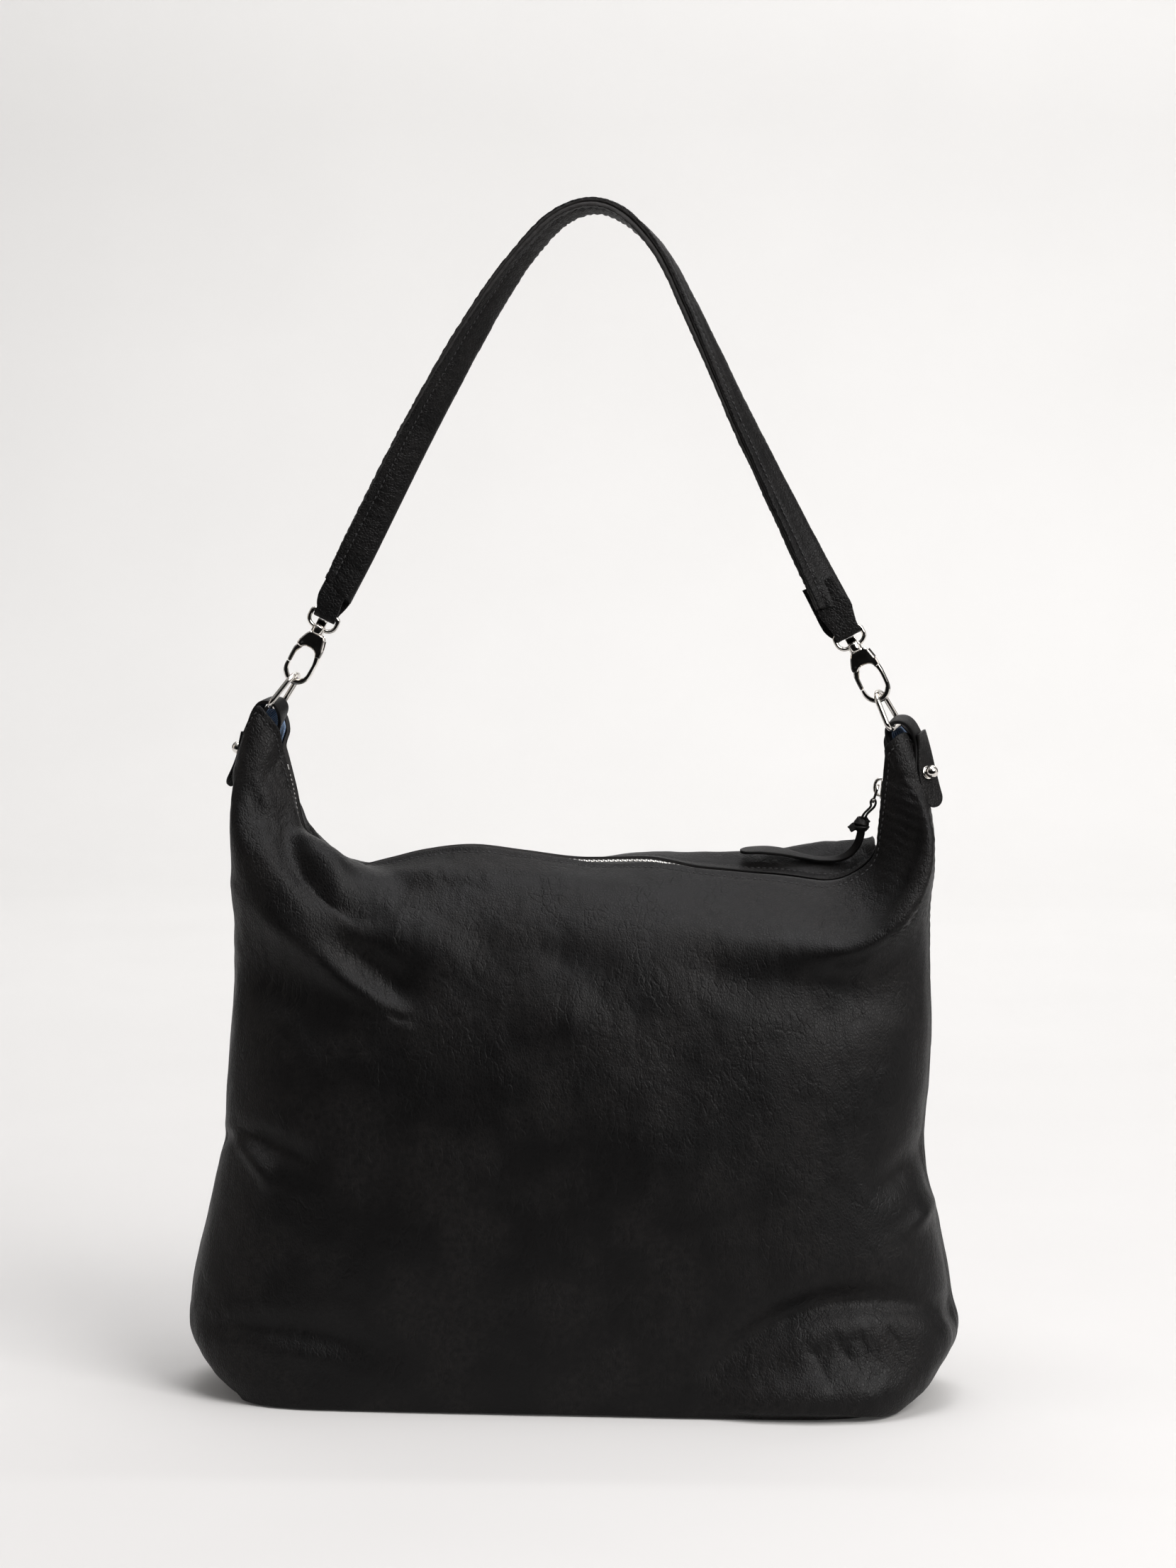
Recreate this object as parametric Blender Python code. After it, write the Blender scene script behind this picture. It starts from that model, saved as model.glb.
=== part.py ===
"""Soft leather hobo bag with a top zip, two ring tabs and a clip-on shoulder strap.

Metres, +Z up, front towards -Y, origin at the middle of the base on the ground.
Lengths below are written in millimetres and multiplied by MM where they are used.
"""
import math

import bmesh
import bpy
import numpy as np
from mathutils import Vector

MM = 0.001

# ---- driving dimensions (mm, degrees) -------------------------------------------------
LEATHER = 2.0            # panel leather
GAP = 0.3                # air between neighbouring pieces
LINING_T = 0.7
TAPE_T = 0.6
BASE_X, BASE_Y = 170.0, 64.0      # half size of the flat base
ZIP_HALF_MOUTH = 6.0     # leather edge to the middle of the zip
CHAIN_DEEP = 2.6         # middle of the teeth below the leather's outer face
TOOTH_IN, TOOTH_OUT, TOOTH_H = 0.6, 2.4, 2.4

TAB_YAW = 4.0           # the tabs and rings are turned a little, seen from above
TAB_T, TAB_W = 2.0, 12.0
PATCH_T = 1.6            # patch under the stud
STUD_Z = -24.3           # stud below the ring's bar
TAB_FOLD_R = 3.6         # middle of the leather round the ring's lower bar
RING_WIRE = 1.5          # wire radius of the oval rings
RING_LOW_W, RING_TOP_R, RING_LOW_R = 19.0, 7.0, 4.5
RING_LIFT = 0.9          # play between hook and ring

HOOK_TILT = 25.0
HOOK_T = 3.6             # thickness of the hook body
HOOK_BOTTOM_WIRE = 1.75
EYE_R, EYE_TOP = 5.6, 20.0
ARM = 2.4
NOSE_Z = 8.7
GATE_PIN = (-4.7, 21.4)
GATE_T = 2.4
SHOULDER_TOP = 28.5
STEM_R, STEM_HOLE_R = 1.4, 1.75
LOOP_Z0, LOOP_Z1 = 33.2, 44.0     # strap loop: lower and upper bar on the hook's axis
LOOP_HALF_W, LOOP_WIRE = 9.1, 1.2

STRAP_W, STRAP_T = 19.5, 5.0
STRAP_END_W = 14.0

PIVOT = {"left": (-151.6, 388.3), "right": (168.5, 380.2)}     # hook on ring, x and z
RING_BAR = {"left": (-162.6, 371.2), "right": (176.2, 364.6)}  # ring in its tab, x and z

SLIDER_Z, SLIDER_L, SLIDER_HALF_W = 332.0, 11.0, 4.6
PULL_L, PULL_W, PULL_WIRE = 9.5, 6.0, 0.65

# ---- clean start ----------------------------------------------------------------------
for ob in list(bpy.data.objects):
    bpy.data.objects.remove(ob, do_unlink=True)


def material(name, colour, rough, metal=0.0):
    m = bpy.data.materials.new(name)
    m.use_nodes = True
    b = m.node_tree.nodes["Principled BSDF"]
    b.inputs["Base Color"].default_value = (*colour, 1.0)
    b.inputs["Roughness"].default_value = rough
    b.inputs["Metallic"].default_value = metal
    return m


LEATHER_LOOK = ((0.013, 0.012, 0.012), 0.48, 0.0)
DENIM_LOOK = ((0.06, 0.12, 0.30), 0.85, 0.0)
TAPE_LOOK = ((0.010, 0.010, 0.011), 0.85, 0.0)
NICKEL_LOOK = ((0.62, 0.60, 0.57), 0.18, 1.0)
STEEL_LOOK = ((0.45, 0.45, 0.45), 0.35, 1.0)


def add(name, bm, look, sharp=40.0):
    """One closed mesh object from a bmesh given in millimetres."""
    bmesh.ops.recalc_face_normals(bm, faces=bm.faces)
    if bm.calc_volume(signed=True) < 0:
        bmesh.ops.reverse_faces(bm, faces=bm.faces)
    bmesh.ops.scale(bm, vec=(MM, MM, MM), verts=bm.verts)
    me = bpy.data.meshes.new(name)
    bm.to_mesh(me)
    bm.free()
    me.shade_smooth()
    me.set_sharp_from_angle(angle=math.radians(sharp))
    ob = bpy.data.objects.new(name, me)
    bpy.context.scene.collection.objects.link(ob)
    me.materials.append(material(name + "_finish", *look))
    return ob


def empty_at(name, point):
    e = bpy.data.objects.new(name, None)
    e.location = Vector(point) * MM
    bpy.context.scene.collection.objects.link(e)
    return e


def hang_on(ob, parent):
    """Parents an object to an empty that stands on its joint, without moving it."""
    bpy.context.view_layer.update()
    ob.parent = parent
    ob.matrix_parent_inverse = parent.matrix_world.inverted()


def cut(ob, cutter, op="DIFFERENCE"):
    """Boolean with a helper shape, then the helper goes."""
    mod = ob.modifiers.new("cut", "BOOLEAN")
    mod.operation = op
    mod.solver = "EXACT"
    mod.object = cutter
    bpy.context.view_layer.update()
    me = bpy.data.meshes.new_from_object(ob.evaluated_get(bpy.context.evaluated_depsgraph_get()))
    old = ob.data
    ob.modifiers.clear()
    mats = list(old.materials)
    ob.data = me
    me.materials.clear()
    for m in mats:
        me.materials.append(m)
    bpy.data.meshes.remove(old)
    bpy.data.objects.remove(cutter, do_unlink=True)
    me.shade_smooth()
    me.set_sharp_from_angle(angle=math.radians(40))


# ---- curve helpers --------------------------------------------------------------------
def smooth_curve(points, per=12):
    """Dense points on a centripetal spline through the given points."""
    p = np.array(points, float)
    p = np.vstack([2 * p[0] - p[1], p, 2 * p[-1] - p[-2]])
    out = []
    for i in range(1, len(p) - 2):
        a, b, c, d = p[i - 1], p[i], p[i + 1], p[i + 2]
        t0 = 0.0
        t1 = t0 + max(np.linalg.norm(b - a), 1e-6) ** 0.5
        t2 = t1 + max(np.linalg.norm(c - b), 1e-6) ** 0.5
        t3 = t2 + max(np.linalg.norm(d - c), 1e-6) ** 0.5
        for k in range(per):
            t = t1 + (t2 - t1) * k / per
            a1 = (t1 - t) / (t1 - t0) * a + (t - t0) / (t1 - t0) * b
            a2 = (t2 - t) / (t2 - t1) * b + (t - t1) / (t2 - t1) * c
            a3 = (t3 - t) / (t3 - t2) * c + (t - t2) / (t3 - t2) * d
            b1 = (t2 - t) / (t2 - t0) * a1 + (t - t0) / (t2 - t0) * a2
            b2 = (t3 - t) / (t3 - t1) * a2 + (t - t1) / (t3 - t1) * a3
            out.append((t2 - t) / (t2 - t1) * b1 + (t - t1) / (t2 - t1) * b2)
    out.append(p[-2])
    return np.array(out)


def along(curve):
    return np.concatenate([[0.0], np.cumsum(np.linalg.norm(np.diff(curve, axis=0), axis=1))])


def at_lengths(curve, s):
    a = along(curve)
    return np.stack([np.interp(s, a, curve[:, k]) for k in range(curve.shape[1])], axis=1)


def tangents(curve, closed=False):
    if closed:
        t = np.roll(curve, -1, axis=0) - np.roll(curve, 1, axis=0)
    else:
        t = np.gradient(curve, axis=0)
    return t / np.linalg.norm(t, axis=1)[:, None]


# ---- bmesh builders (millimetres) -----------------------------------------------------
def shell(outer, inner):
    """Closed sheet between two grids of points of the same size."""
    bm = bmesh.new()
    nv, nu = outer.shape[:2]
    o = [[bm.verts.new(outer[i, j]) for j in range(nu)] for i in range(nv)]
    n = [[bm.verts.new(inner[i, j]) for j in range(nu)] for i in range(nv)]
    for i in range(nv - 1):
        for j in range(nu - 1):
            bm.faces.new((o[i][j], o[i][j + 1], o[i + 1][j + 1], o[i + 1][j]))
            bm.faces.new((n[i][j], n[i + 1][j], n[i + 1][j + 1], n[i][j + 1]))
    for j in range(nu - 1):
        bm.faces.new((o[0][j], n[0][j], n[0][j + 1], o[0][j + 1]))
        bm.faces.new((o[-1][j], o[-1][j + 1], n[-1][j + 1], n[-1][j]))
    for i in range(nv - 1):
        bm.faces.new((o[i][0], o[i + 1][0], n[i + 1][0], n[i][0]))
        bm.faces.new((o[i][-1], n[i][-1], n[i + 1][-1], o[i + 1][-1]))
    bmesh.ops.triangulate(bm, faces=bm.faces)
    return bm


def rings_to_bmesh(rings, closed):
    """Skin over a row of equal loops, capped at both ends unless it closes on itself."""
    bm = bmesh.new()
    rows = [[bm.verts.new(p) for p in r] for r in rings]
    m = len(rows[0])
    pairs = list(zip(rows, rows[1:]))
    if closed:
        pairs.append((rows[-1], rows[0]))
    for a, b in pairs:
        for k in range(m):
            bm.faces.new((a[k], a[(k + 1) % m], b[(k + 1) % m], b[k]))
    if not closed:
        bm.faces.new(rows[0])
        bm.faces.new(list(reversed(rows[-1])))
    return bm


def tube(path, radius, sides=10, closed=False):
    """Round wire along a path that stays in one plane."""
    p = np.array(path, float)
    t = tangents(p, closed)
    c = p - p.mean(axis=0)
    normal = np.linalg.svd(c)[2][2]
    rings = []
    for q, d in zip(p, t):
        side = np.cross(normal, d)
        side /= np.linalg.norm(side)
        rings.append([q + radius * (math.cos(a) * side + math.sin(a) * normal)
                      for a in np.linspace(0, 2 * math.pi, sides, endpoint=False)])
    return rings_to_bmesh(rings, closed)


def plate(outline, thick, to_world, bevel=0.0):
    """Flat outline (x', z') made thick along y', with eased edges, placed by a function."""
    bm = bmesh.new()
    front = [bm.verts.new((x, -thick / 2, z)) for x, z in outline]
    face = bm.faces.new(front)
    ext = bmesh.ops.extrude_face_region(bm, geom=[face])
    bmesh.ops.translate(bm, vec=(0, thick, 0),
                        verts=[v for v in ext["geom"] if isinstance(v, bmesh.types.BMVert)])
    bmesh.ops.recalc_face_normals(bm, faces=bm.faces)
    if bevel:
        rim = [e for e in bm.edges if abs(e.verts[0].co.y - e.verts[1].co.y) < 1e-6
               and len(e.link_faces) == 2 and e.calc_face_angle(0) > 0.8]
        bmesh.ops.bevel(bm, geom=rim, offset=bevel, segments=1, affect="EDGES", clamp_overlap=True)
    for v in bm.verts:
        v.co = Vector(to_world(*v.co))
    return bm


def turned(profile, to_world, sides=20):
    """Solid of revolution about z' from (radius, z') pairs; it starts and ends on the axis."""
    bm = bmesh.new()
    rows = []
    for r, z in profile:
        if r < 1e-6:
            rows.append([bm.verts.new(to_world(0, 0, z))])
        else:
            rows.append([bm.verts.new(to_world(r * math.cos(a), r * math.sin(a), z))
                         for a in np.linspace(0, 2 * math.pi, sides, endpoint=False)])
    for a, b in zip(rows, rows[1:]):
        for k in range(sides):
            k2 = (k + 1) % sides
            if len(a) == 1 and len(b) > 1:
                bm.faces.new((a[0], b[k], b[k2]))
            elif len(b) == 1 and len(a) > 1:
                bm.faces.new((a[k], a[k2], b[0]))
            elif len(a) > 1:
                bm.faces.new((a[k], a[k2], b[k2], b[k]))
    return bm


# ---- the zip's line (x, z) and its outward normal --------------------------------------
straight = [(166.2 + 0.0881 * d, 301.0 + d) for d in np.linspace(0, 49, 8)]
ZIP_LINE = smooth_curve([(-156.2, 353), (-154.3, 346), (-150.2, 329), (-146.8, 311), (-141, 297),
                         (-131, 289.5), (-118, 287.5), (-100, 291.5), (-80, 296.5), (-54, 299.5),
                         (-25, 296.5), (5, 293), (45, 294), (90, 295), (120, 291.5), (140, 288),
                         (150, 287.3), (158.5, 289.8), (164, 295.0)] + straight, 16)
ZIP_S = along(ZIP_LINE)
S_MID = float(np.interp(5.0, ZIP_LINE[:, 0], ZIP_S))


def zip_at(s, deep=0.0):
    """Points on the zip's line at lengths from its middle, moved inward by deep."""
    s = np.asarray(s, float) + S_MID
    p = at_lengths(ZIP_LINE, s)
    e = 0.5
    t = at_lengths(ZIP_LINE, s + e) - at_lengths(ZIP_LINE, s - e)
    t /= np.linalg.norm(t, axis=1)[:, None]
    n = np.stack([-t[:, 1], t[:, 0]], axis=1)
    return p - deep * n, n


S_LEFT, S_RIGHT = -S_MID, float(ZIP_S[-1]) - S_MID

# ---- the panel surface -----------------------------------------------------------------
# Columns run from the left side seam to the right one: (zip length s) or a mouth point.
MOUTH_R = [(172.2, -8.6, 356.5), (175.2, -9.4, 358.5), (178.8, -6.4, 355.5), (181.6, -0.35, 349.5)]
MOUTH_L = [(-158.0, -8.6, 358.5), (-161.2, -9.4, 361.5), (-165.0, -6.4, 359.0), (-168.0, -0.35, 353.0)]
ZIP_COLS = [S_LEFT + 1, S_LEFT + 12, S_LEFT + 26, S_LEFT + 40, S_LEFT + 50, S_LEFT + 60, S_LEFT + 69,
            S_LEFT + 79, S_LEFT + 96, -104, -76, -48, -20, 8, 36, 64, 90, 112, 130, 141, 148.5, 154.5,
            160, 165.5, 172, 184, 198, S_RIGHT - 12, S_RIGHT - 1]
NU = len(ZIP_COLS) + len(MOUTH_R) + len(MOUTH_L)


def zip_edge_row():
    p, n = zip_at(ZIP_COLS)
    mid = [(x, -ZIP_HALF_MOUTH, z) for x, z in p]
    return np.array(list(reversed(MOUTH_L)) + mid + MOUTH_R)


# Level sections: height, half width left, half width right, half depth, squareness.
LEVELS = [(2.3, 170.0, 170.0, 64.0, 7.0), (15, 197, 195, 68.5, 4.6), (34, 211.0, 211.0, 72.0, 3.6),
          (58, 208.5, 208.5, 74.0, 3.2), (95, 199.5, 200.0, 74.5, 3.0), (138, 190.5, 192.5, 74.0, 2.9),
          (176, 188.0, 195.0, 72.0, 2.9), (212, 186.8, 196.4, 69.0, 2.9)]


def section(z, left, right, deep, n):
    """Front half of a rounded level section, from the left seam to the right one."""
    th = np.linspace(0, math.pi, 721)
    c, s = np.cos(th), np.sin(th)
    x = -np.sign(c) * np.abs(c) ** (2 / n)
    y = -np.abs(s) ** (2 / n) * deep
    x = np.where(x < 0, x * left, x * right)
    return np.stack([x, y, np.full_like(x, z)], axis=1)


def spread(curve, shares):
    a = along(curve)
    return at_lengths(curve, shares * a[-1])


EDGE = zip_edge_row()
SHARES = along(EDGE)
SHARES = SHARES / SHARES[-1]


def ridge(side):
    """Where the front turns into the top: x, y, z by share of the half width, middle to seam."""
    if side > 0:
        return [(0.0, 5, -62, 251), (0.25, 66, -62, 250), (0.46, 113, -61.5, 248), (0.56, 136, -60, 247),
                (0.62, 150, -57.5, 248.5), (0.68, 171, -50, 259), (0.73, 184, -43, 276), (0.78, 190, -36, 292),
                (0.86, 189.5, -26, 322), (0.92, 188.3, -17, 335), (0.97, 187, -9, 340), (1.0, 187.5, 0, 338.5)]
    return [(0.0, 5, -62, 251), (0.25, -54, -62, 253), (0.40, -88, -60, 255), (0.50, -112, -54, 266),
            (0.58, -132, -45, 284), (0.65, -149, -41, 291), (0.72, -163, -38, 300), (0.80, -172.5, -31, 319),
            (0.88, -174.2, -22, 335), (0.94, -173.8, -14, 343), (0.975, -173.2, -8, 345.5), (1.0, -173.8, 0, 342.5)]


def between(table, shares):
    t = np.array(table, float)
    out = np.zeros((len(shares), 3))
    d = smooth_curve(t, 24)
    for k in range(3):
        out[:, k] = np.interp(shares, d[:, 0], d[:, k + 1])
    return out


def ridge_row():
    half = np.interp(5.0, EDGE[4:-4, 0], SHARES[4:-4])
    right = SHARES >= half
    out = np.zeros((NU, 3))
    out[right] = between(ridge(1), (SHARES[right] - half) / (1 - half))
    out[~right] = between(ridge(-1), (half - SHARES[~right]) / half)
    return out


def panel_grid():
    """Outer face of the front panel: rows from the base to the zip, columns across."""
    rows = [spread(section(*lv), SHARES) for lv in LEVELS]
    top = ridge_row()
    edge = EDGE.copy()
    inner = 0.5 * (top + edge)
    inner[:, 2] += 0.16 * np.abs(top[:, 1] - edge[:, 1]) * np.clip(1 - np.abs(EDGE[:, 0]) / 175, 0, 1)
    rows += [top, inner, edge]
    rows = np.array(rows)
    rows[:, 0, 1] = -0.35
    rows[:, -1, 1] = -0.35
    # smooth columns through the rows, with extra rows in the upper half
    cols = []
    for j in range(NU):
        d = smooth_curve(rows[:, j], 10)
        keep = list(range(0, 71, 10)) + [80, 85, 90, 95, 100]
        cols.append(d[keep])
    g = np.array(cols).transpose(1, 0, 2)
    g[:, 0, 1] = -0.35
    g[:, -1, 1] = -0.35
    return g


def normals(g):
    """Outward normals of a grid; they stay in the seam's plane along both side seams."""
    du = np.gradient(g, axis=1)
    dv = np.gradient(g, axis=0)
    n = np.cross(du, dv)
    n /= np.linalg.norm(n, axis=2)[..., None]
    n[:, 0, 1] = 0
    n[:, -1, 1] = 0
    n[0, :, 2] = 0
    n[-1, :, 1] *= 0.15
    n /= np.linalg.norm(n, axis=2)[..., None]
    return n


GRID = panel_grid()
NORM = normals(GRID)
FLIP = np.array([1.0, -1.0, 1.0])


def sheet(name, deep0, deep1, rows, look, back):
    o = GRID[rows] - NORM[rows] * deep0
    i = GRID[rows] - NORM[rows] * deep1
    if back:
        o, i = o * FLIP, i * FLIP
    return add(name, shell(o, i), look, 60)


sheet("front_panel", 0.0, LEATHER, slice(None), LEATHER_LOOK, False)
sheet("back_panel", 0.0, LEATHER, slice(None), LEATHER_LOOK, True)
D0 = LEATHER + GAP + TAPE_T + 1.0


def lining_face(deep):
    """Lining: close to the leather below, then straight up to the mouth."""
    low = GRID - NORM * deep
    wall, mouth = low[[0, 2, 4, 5, 6, 7]], low[-1]
    reach = np.full(NU, 0.93)
    for j in range(NU):
        reach[j] = 0.93 - 0.20 * max(0.0, 1 - max(0, min(j, NU - 1 - j) - 4) / 3)
    up = [wall[-1] + (mouth - wall[-1]) * (t * reach)[:, None] for t in (0.5, 1.0)]
    return np.concatenate([wall, np.array(up)])


for name, flip in (("lining_front", np.ones(3)), ("lining_back", FLIP)):
    add(name, shell(lining_face(D0) * flip, lining_face(D0 + LINING_T) * flip), DENIM_LOOK, 60)


def slab(name, half_x, half_y, z0, z1, r, look):
    pts = []
    for cx, cy, a0 in ((1, 1, 0), (-1, 1, 90), (-1, -1, 180), (1, -1, 270)):
        for a in np.linspace(a0, a0 + 90, 5):
            pts.append((cx * (half_x - r) + r * math.cos(math.radians(a)),
                        cy * (half_y - r) + r * math.sin(math.radians(a))))
    bm = rings_to_bmesh([[(x, y, z) for x, y in pts] for z in (z0, z1)], False)
    return add(name, bm, look)


outline = section(0.0, BASE_X + 1.5, BASE_X + 1.5, BASE_Y + 1.2, 7.0)[::20]
outline = np.concatenate([outline[:-1], outline[::-1][:-1] * FLIP])
base = rings_to_bmesh([[(x, y, z) for x, y, _ in outline] for z in (0.0, LEATHER)], False)
add("base_panel", base, LEATHER_LOOK)
slab("lining_base", BASE_X - 14.0, BASE_Y - 12.0, LEATHER + GAP, LEATHER + GAP + LINING_T, 16.0, DENIM_LOOK)

# ---- zip -------------------------------------------------------------------------------
chain_s = np.concatenate([np.arange(S_LEFT + 15, S_RIGHT - 66, 7.5), np.arange(S_RIGHT - 64, S_RIGHT - 14, 12.25)])


def bar_along(y0, y1, low, high, s_values):
    """Strip of rectangular section along the zip: y0..y1 across, low..high above the teeth's middle."""
    a, n = zip_at(s_values, CHAIN_DEEP)
    rings = []
    for (x, z), (nx, nz) in zip(a, n):
        rings.append([(x + nx * h, y, z + nz * h) for y, h in ((y0, low), (y1, low), (y1, high), (y0, high))])
    return rings_to_bmesh(rings, False)


h = TOOTH_H / 2
add("zip_teeth_front", bar_along(-TOOTH_OUT, -TOOTH_IN, -h, h, chain_s), STEEL_LOOK)
add("zip_teeth_back", bar_along(TOOTH_IN, TOOTH_OUT, -h, h, chain_s), STEEL_LOOK)


def tape(name, back):
    """Cloth tape from the teeth to well under the leather's edge."""
    cols = slice(len(MOUTH_L), len(MOUTH_L) + len(ZIP_COLS))
    a, n = zip_at(ZIP_COLS, CHAIN_DEEP)
    near = np.array([(x, -TOOTH_OUT - GAP, z) for x, z in a])
    nn = np.array([(nx, 0, nz) for nx, nz in n])
    e, en = GRID[-1, cols], NORM[-1, cols]
    f, fn = GRID[-2, cols], NORM[-2, cols]
    f = e + (f - e) * 0.28
    fn = NORM[-1, cols] * 0.6 + fn * 0.4
    fn /= np.linalg.norm(fn, axis=1)[:, None]
    d0, d1 = LEATHER + GAP + 0.25, LEATHER + GAP + 0.25 + TAPE_T
    hi = np.array([near + nn * TAPE_T / 2, e - en * d0, f - fn * (d0 + 0.3)])
    lo = np.array([near - nn * TAPE_T / 2, e - en * d1, f - fn * (d1 + 0.3)])
    if back:
        hi, lo = hi * FLIP, lo * FLIP
    add(name, shell(hi, lo), TAPE_LOOK, 60)


tape("zip_tape_front", False)
tape("zip_tape_back", True)

# end stops close the row of teeth at both ends
for name, s0, s1 in (("zip_stop_left", S_LEFT + 10.4, S_LEFT + 14.0), ("zip_stop_right", S_RIGHT - 14.0, S_RIGHT - 10.4)):
    add(name, bar_along(-2.4, 2.4, -1.5, 1.5, [s0, s1]), STEEL_LOOK)

# slider: upper and lower plate joined by a thin web that runs between the two rows of teeth
slide_dir = np.array([0.0881, 0.0, 1.0])
slide_dir /= np.linalg.norm(slide_dir)
out_dir = np.array([-slide_dir[2], 0.0, slide_dir[0]])
mid = np.array([166.2 + 0.0881 * (SLIDER_Z - 301.0), 0.0, SLIDER_Z]) - CHAIN_DEEP * out_dir


def slider_space(a, b, c):
    """a along the zip (up), b across (front to back), c outward from the teeth's middle."""
    return tuple(mid + a * slide_dir + b * np.array([0, 1.0, 0]) + c * out_dir)


def box_in(to_world, a0, a1, b0, b1, c0, c1):
    bm = bmesh.new()
    v = [bm.verts.new(to_world(a, b, c)) for a in (a0, a1) for b in (b0, b1) for c in (c0, c1)]
    for f in ((0, 1, 3, 2), (4, 6, 7, 5), (0, 4, 5, 1), (2, 3, 7, 6), (0, 2, 6, 4), (1, 5, 7, 3)):
        bm.faces.new([v[k] for k in f])
    return bm


def slider_plate(c0, c1):
    """Shield-shaped plate, wide at the open end."""
    L, w = SLIDER_L / 2, SLIDER_HALF_W
    pts = [(-L, -w * 0.72), (-L * 0.3, -w * 0.8), (L * 0.45, -w), (L * 0.85, -w * 0.9), (L, -w * 0.45),
           (L * 0.8, 0), (L, w * 0.45), (L * 0.85, w * 0.9), (L * 0.45, w), (-L * 0.3, w * 0.8), (-L, w * 0.72)]
    return rings_to_bmesh([[slider_space(a, b, c) for a, b in pts] for c in (c0, c1)], False)


top0 = h + GAP
slider = add("zip_slider", slider_plate(top0, top0 + 1.5), NICKEL_LOOK)
low = add("lower", slider_plate(-top0 - 1.3, -top0), NICKEL_LOOK)
web = add("web", box_in(slider_space, 0.5, 4.0, -0.3, 0.3, -top0 - 0.6, top0 + 0.6), NICKEL_LOOK)
lug_pts = [(1.4 + 2.6 * math.cos(t), top0 + 1.2 + 3.9 * math.sin(t)) for t in np.linspace(0, math.pi, 9)]
lug_in = [(1.4 + 1.2 * math.cos(t), top0 + 2.9 + 1.2 * math.sin(t)) for t in np.linspace(0, 2 * math.pi, 12, endpoint=False)]
lug = add("lug", rings_to_bmesh([[slider_space(a, b, c) for a, c in lug_pts] for b in (-0.8, 0.8)], False), NICKEL_LOOK)
eye = add("eye", rings_to_bmesh([[slider_space(a, b, c) for a, c in lug_in] for b in (-2.0, 2.0)], False), NICKEL_LOOK)
cut(lug, eye)
for piece in (low, web, lug):
    cut(slider, piece, "UNION")

pull_pivot = np.array(slider_space(1.4, 0, top0 + 2.9))
pull_down = np.array([-0.30, 0.0, -0.954])
pull_down /= np.linalg.norm(pull_down)
pull_side = np.array([0.0, 1.0, 0.0])


def oval(centre, long_dir, wide_dir, length, width, n=20):
    r = width / 2
    k = length / 2 - r
    pts = []
    for t in np.linspace(0, 2 * math.pi, n, endpoint=False):
        pts.append(centre + wide_dir * r * math.cos(t) + long_dir * (r * math.sin(t) + (k if math.sin(t) >= 0 else -k)))
    return np.array(pts)


pull_centre = pull_pivot + pull_down * PULL_L / 2
pull = add("zip_pull_ring", tube(oval(pull_centre, pull_down, pull_side, PULL_L, PULL_W), PULL_WIRE, 6, True), NICKEL_LOOK)

slider_axis = empty_at("zip_slider_axis", slider_space(0, 0, 0))
pull_axis = empty_at("zip_pull_axis", pull_pivot)
hang_on(slider, slider_axis)
hang_on(pull_axis, slider_axis)
hang_on(pull, pull_axis)

# leather thong: through the pull ring, down the corner and along the back of the top to a paddle
loop = pull_pivot + pull_down * (PULL_L + 1.6)
THONG = smooth_curve([tuple(loop), (161.5, 2.0, 316.0), (159.0, 5.0, 307.5), (155.5, 9.5, 298.5), (148.5, 12.5, 294.0),
                      (138.0, 13.5, 292.4), (124.0, 13.5, 293.2), (108.0, 13.0, 295.6), (92.5, 12.5, 296.0)], 5)
t_len = along(THONG)[-1]
rings = []
tt = tangents(THONG)
for q, d, s in zip(THONG, tt, along(THONG)):
    share = s / t_len
    w = 4.6 + 5.4 * min(1, max(0, (share - 0.62) / 0.28))
    if share > 0.93:
        w *= math.sqrt(max(0.18, 1 - ((share - 0.93) / 0.075) ** 2))
    across = np.array([0.0, 1.0, 0.0]) - d * d[1]
    across /= np.linalg.norm(across)
    up = np.cross(across, d)
    rings.append([q + across * w / 2 * a + up * 0.9 * b for a, b in ((-1, -1), (1, -1), (1, 1), (-1, 1))])
add("zip_thong", rings_to_bmesh(rings, False), LEATHER_LOOK)


# ---- ring tabs, patches and studs -------------------------------------------------------
def tab_frame(side):
    """Local space of a corner: o outward from the ring's lower bar, f along the bar, z up."""
    sg = 1.0 if side == "right" else -1.0
    yaw = math.radians(TAB_YAW)
    f = np.array([math.sin(yaw), math.cos(yaw), 0.0])
    o = np.array([math.cos(yaw), -math.sin(yaw), 0.0]) * sg
    b = np.array([RING_BAR[side][0], 0.0, RING_BAR[side][1]])
    return lambda oo, ff, zz: tuple(b + o * oo + f * ff + np.array([0, 0, zz])), o, f, b


def tab_line():
    """Middle of the tab's leather in (o, z): up from inside, round the bar, down the outer side."""
    r = TAB_FOLD_R
    pts = [(1.9, -30.0), (0.9, -23.0), (-0.6, -16.0), (-2.4, -9.0), (-r + 0.2, -3.6)]
    pts += [(r * math.cos(a), r * math.sin(a)) for a in np.radians(np.arange(180, 19, -20))]
    down = [(5.3, -2.8), (7.8, -8.8), (10.5, -15.0), (13.8, -22.0), (16.8, -29.0), (19.0, -35.0), (20.2, -38.5)]
    return np.array(pts + down)


def strip(name, side, line, thick, widths, look):
    """Leather strip: a line in (o, z) made thick, with a width for each point."""
    to_world = tab_frame(side)[0]
    t = tangents(line)
    n = np.stack([-t[:, 1], t[:, 0]], axis=1)
    rings = []
    for q, m, w in zip(line, n, widths):
        a, b = q + m * thick / 2, q - m * thick / 2
        rings.append([to_world(a[0], -w / 2, a[1]), to_world(a[0], w / 2, a[1]),
                      to_world(b[0], w / 2, b[1]), to_world(b[0], -w / 2, b[1])])
    return add(name, rings_to_bmesh(rings, False), look, 50)


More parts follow.
